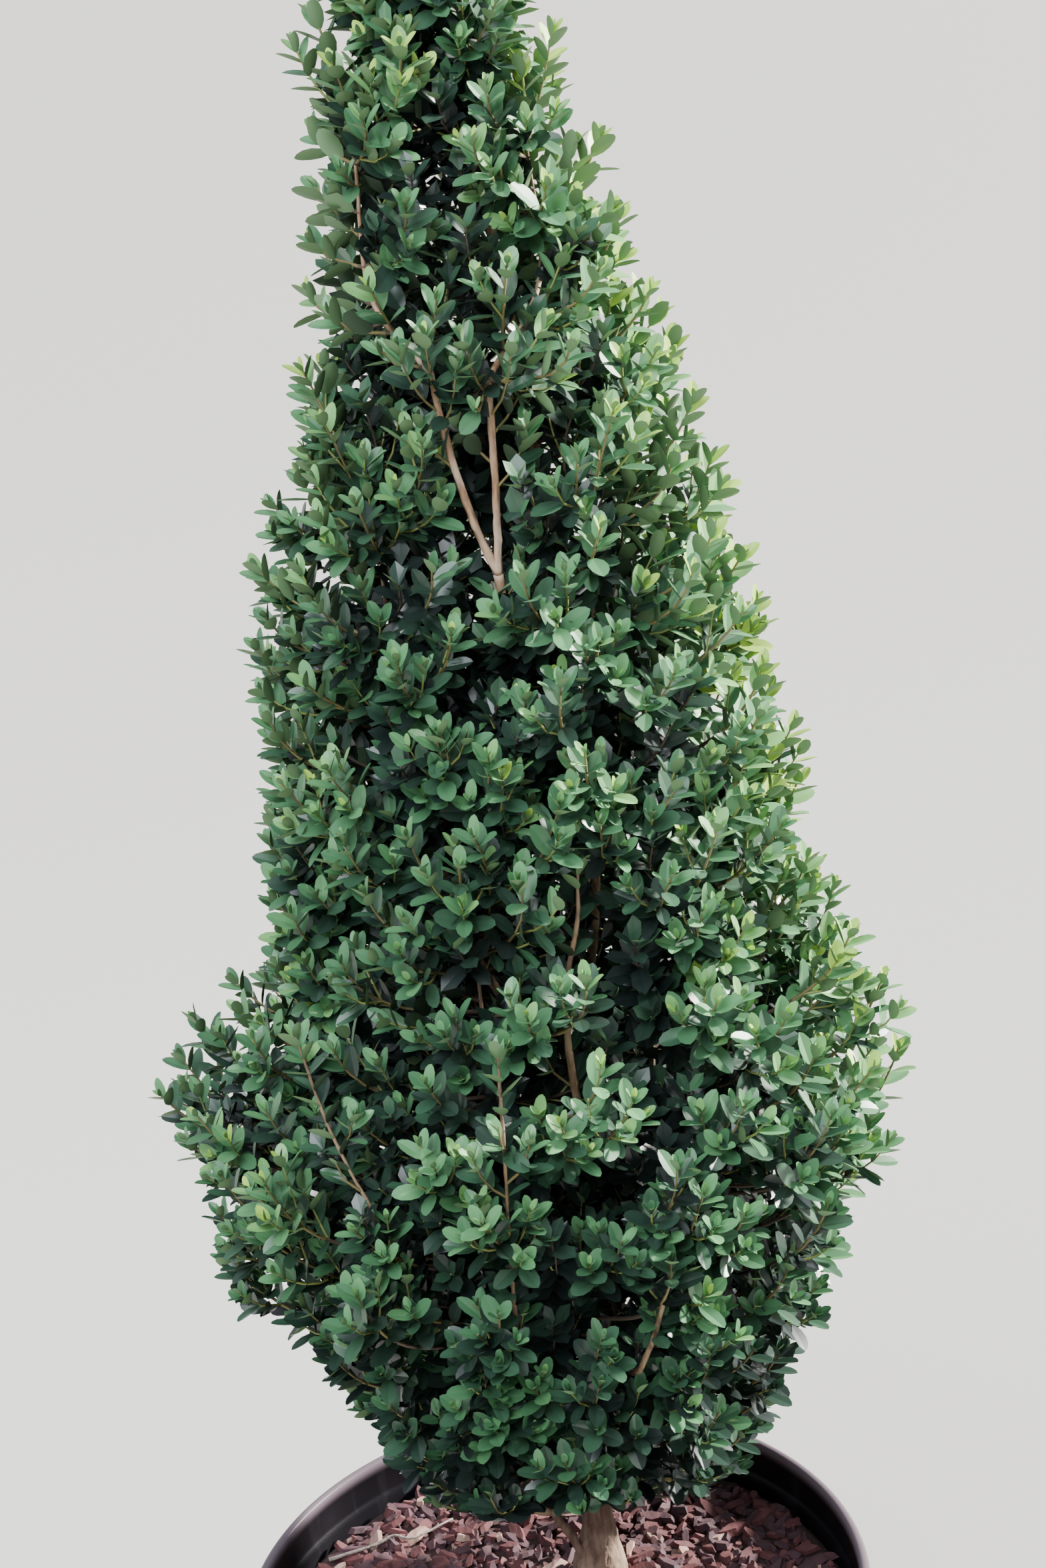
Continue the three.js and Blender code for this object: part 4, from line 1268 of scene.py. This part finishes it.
# %% Leaf tints
LEAF_TINTS = [
    # The two darkest tints are nearly black: old leaf colour together with painted shade of the crown's
    # inside.
    plain("leaf_old_and_shaded", colour(0.012, 0.02, 0.018), 0.28, 0.1),
    plain("leaf_deep_shaded", colour(0.019, 0.041, 0.029), 0.29, 0.1),
    plain("leaf_blue_green", colour(0.035, 0.085, 0.048), 0.34),
    plain("leaf_green", colour(0.055, 0.147, 0.068), 0.37),
    plain("leaf_mid", colour(0.094, 0.24, 0.102), 0.4),
    plain("leaf_fresh", colour(0.16, 0.35, 0.12), 0.42),
    plain("leaf_young", colour(0.36, 0.55, 0.1), 0.45),
    plain("leaf_yellowed", colour(0.42, 0.27, 0.04), 0.5),
]
UNDERSIDE = plain("leaf_underside", colour(0.105, 0.185, 0.085), 0.6)
# The darkest leaves get a darker underside as painted shade.
OLD_SHADED_UNDERSIDE = plain("old_shaded_leaf_underside", colour(0.03, 0.055, 0.028), 0.6)
print([leaves["tint"].count(i) for i in range(len(LEAF_TINTS))], "leaves of each tint")

# %% Leaf tree
OLD_TINTS = 2
POINT_KINDS = {
    "along": "FLOAT_VECTOR", "face": "FLOAT_VECTOR", "size": "FLOAT", "shape": "INT", "tint": "INT"}


def leaf_tree():
    labels = {f"Tint {i}": "Material" for i in range(len(LEAF_TINTS))}
    growth = Growth("leaves", {
        "Shapes": "Collection", "Underside": "Material", "Old Shaded Underside": "Material", **labels})
    given = growth.given
    along, face, size, shape, tint = (growth.attribute(label, kind) for label, kind in POINT_KINDS.items())
    turn = growth.node("FunctionNodeAlignRotationToVector", {"axis": "X"}, {"Vector": along})
    turn = growth.node("FunctionNodeAlignRotationToVector", {"axis": "Z", "pivot_axis": "X"}, {
        "Rotation": turn, "Vector": face})
    placed = growth.node("GeometryNodeInstanceOnPoints", {}, {
        "Points": given["Geometry"], "Instance": growth.shapes(given["Shapes"]), "Pick Instance": True,
        "Instance Index": shape, "Rotation": turn, "Scale": size})
    real = growth.node("GeometryNodeRealizeInstances", {}, {"Geometry": placed})
    for i in range(len(LEAF_TINTS)):
        real = growth.finished(real, given[f"Tint {i}"], growth.compare("EQUAL", tint, i))
    below = growth.attribute("under", "BOOLEAN")
    # Undersides of the two darkest tints take the darker painted-shade underside.
    old = growth.compare("LESS_THAN", tint, OLD_TINTS)
    old_shaded_below = growth.node("FunctionNodeBooleanMath", {"operation": "AND"}, {0: below, 1: old})
    real = growth.finished(real, given["Underside"], below)
    return growth.end(growth.finished(real, given["Old Shaded Underside"], old_shaded_below))


leaf_growth = leaf_tree()
print("leaf tree has", len(leaf_growth.nodes), "nodes")

# %% Leaf pieces
MOST_LEAVES = 6000


def leaf_points(name, chosen):
    mesh = bpy.data.meshes.new(name)
    mesh.from_pydata([tuple(leaves["root"][i] * MM) for i in chosen], [], [])
    for label, kind in POINT_KINDS.items():
        values = np.array([leaves[label][i] for i in chosen])
        field = "vector" if kind == "FLOAT_VECTOR" else "value"
        values = values * MM if label == "size" else values
        mesh.attributes.new(label, kind, "POINT").data.foreach_set(field, values.ravel())
    return piece_of(name, mesh)


leaf_inputs = {"Shapes": leaf_shapes, "Underside": UNDERSIDE, "Old Shaded Underside": OLD_SHADED_UNDERSIDE}
leaf_inputs |= {f"Tint {i}": tint for i, tint in enumerate(LEAF_TINTS)}
for tier_name in TIERS:
    in_tier = [i for i, leaf_tier in enumerate(leaves["tier"]) if leaf_tier == tier_name]
    nodes = [f"foliage_{name}" for name, mass in masses.items() if mass["tier"] == tier_name]
    parts = math.ceil(len(in_tier) / MOST_LEAVES)
    for part in range(parts):
        share = in_tier[part * len(in_tier) // parts:(part + 1) * len(in_tier) // parts]
        points = leaf_points("leaf_points", share)
        piece = grown(f"leaves_{tier_name}_{part + 1}", points, leaf_growth, leaf_inputs)
        for label in (*POINT_KINDS, "under"):
            if label in piece.data.attributes:
                piece.data.attributes.remove(piece.data.attributes[label])
        dress(piece, nodes)

# %% [markdown]
# ## Floor and light
# The plant stands on a plain pale floor that reaches past the view. A picture of a sky could light it, but
# two lamps and a plain sky are easier to steer. A soft sun from the upper right and behind lights the right
# flank, a wide panel above the front gives the leaves their sheen, and the pale sky fills the shade.


# %% Floor and light
FLOOR_METRES = 80


def floor_piece():
    paint = Paint("floor")
    finish = paint.finish(Base_Color=colour(0.42, 0.42, 0.405), Roughness=0.9)
    mesh = bpy.data.meshes.new("floor")
    half = FLOOR_METRES / 2
    mesh.from_pydata([(-half, -half, 0), (half, -half, 0), (half, half, 0), (-half, half, 0)], [],
                     [(0, 1, 2, 3)])
    mesh.materials.append(finish)
    return piece_of("floor", mesh)


def light(name, kind, place, aim, **settings):
    data = bpy.data.lights.new(name, kind)
    for key, value in settings.items():
        setattr(data, key, value)
    made = bpy.data.objects.new(name, data)
    made.location = place
    made.rotation_euler = (Vector(aim) - Vector(place)).to_track_quat("-Z", "Y").to_euler()
    bpy.context.scene.collection.objects.link(made)


floor_piece()
light("sun", "SUN", Vector(SUN) * 5, (0, 0, 0), energy=23, angle=math.radians(6), color=(1, 0.97, 0.9))
light("panel", "AREA", (-0.9, -1.9, 3.3), (0, 0, 0.8), energy=240, size=2.4, color=(0.88, 0.95, 1))
sky = bpy.data.worlds.new("sky")
sky.use_nodes = True
sky.node_tree.nodes["Background"].inputs["Color"].default_value = (0.86, 0.93, 1, 1)
sky.node_tree.nodes["Background"].inputs["Strength"].default_value = 0.6
bpy.context.scene.world = sky
print("lights set")
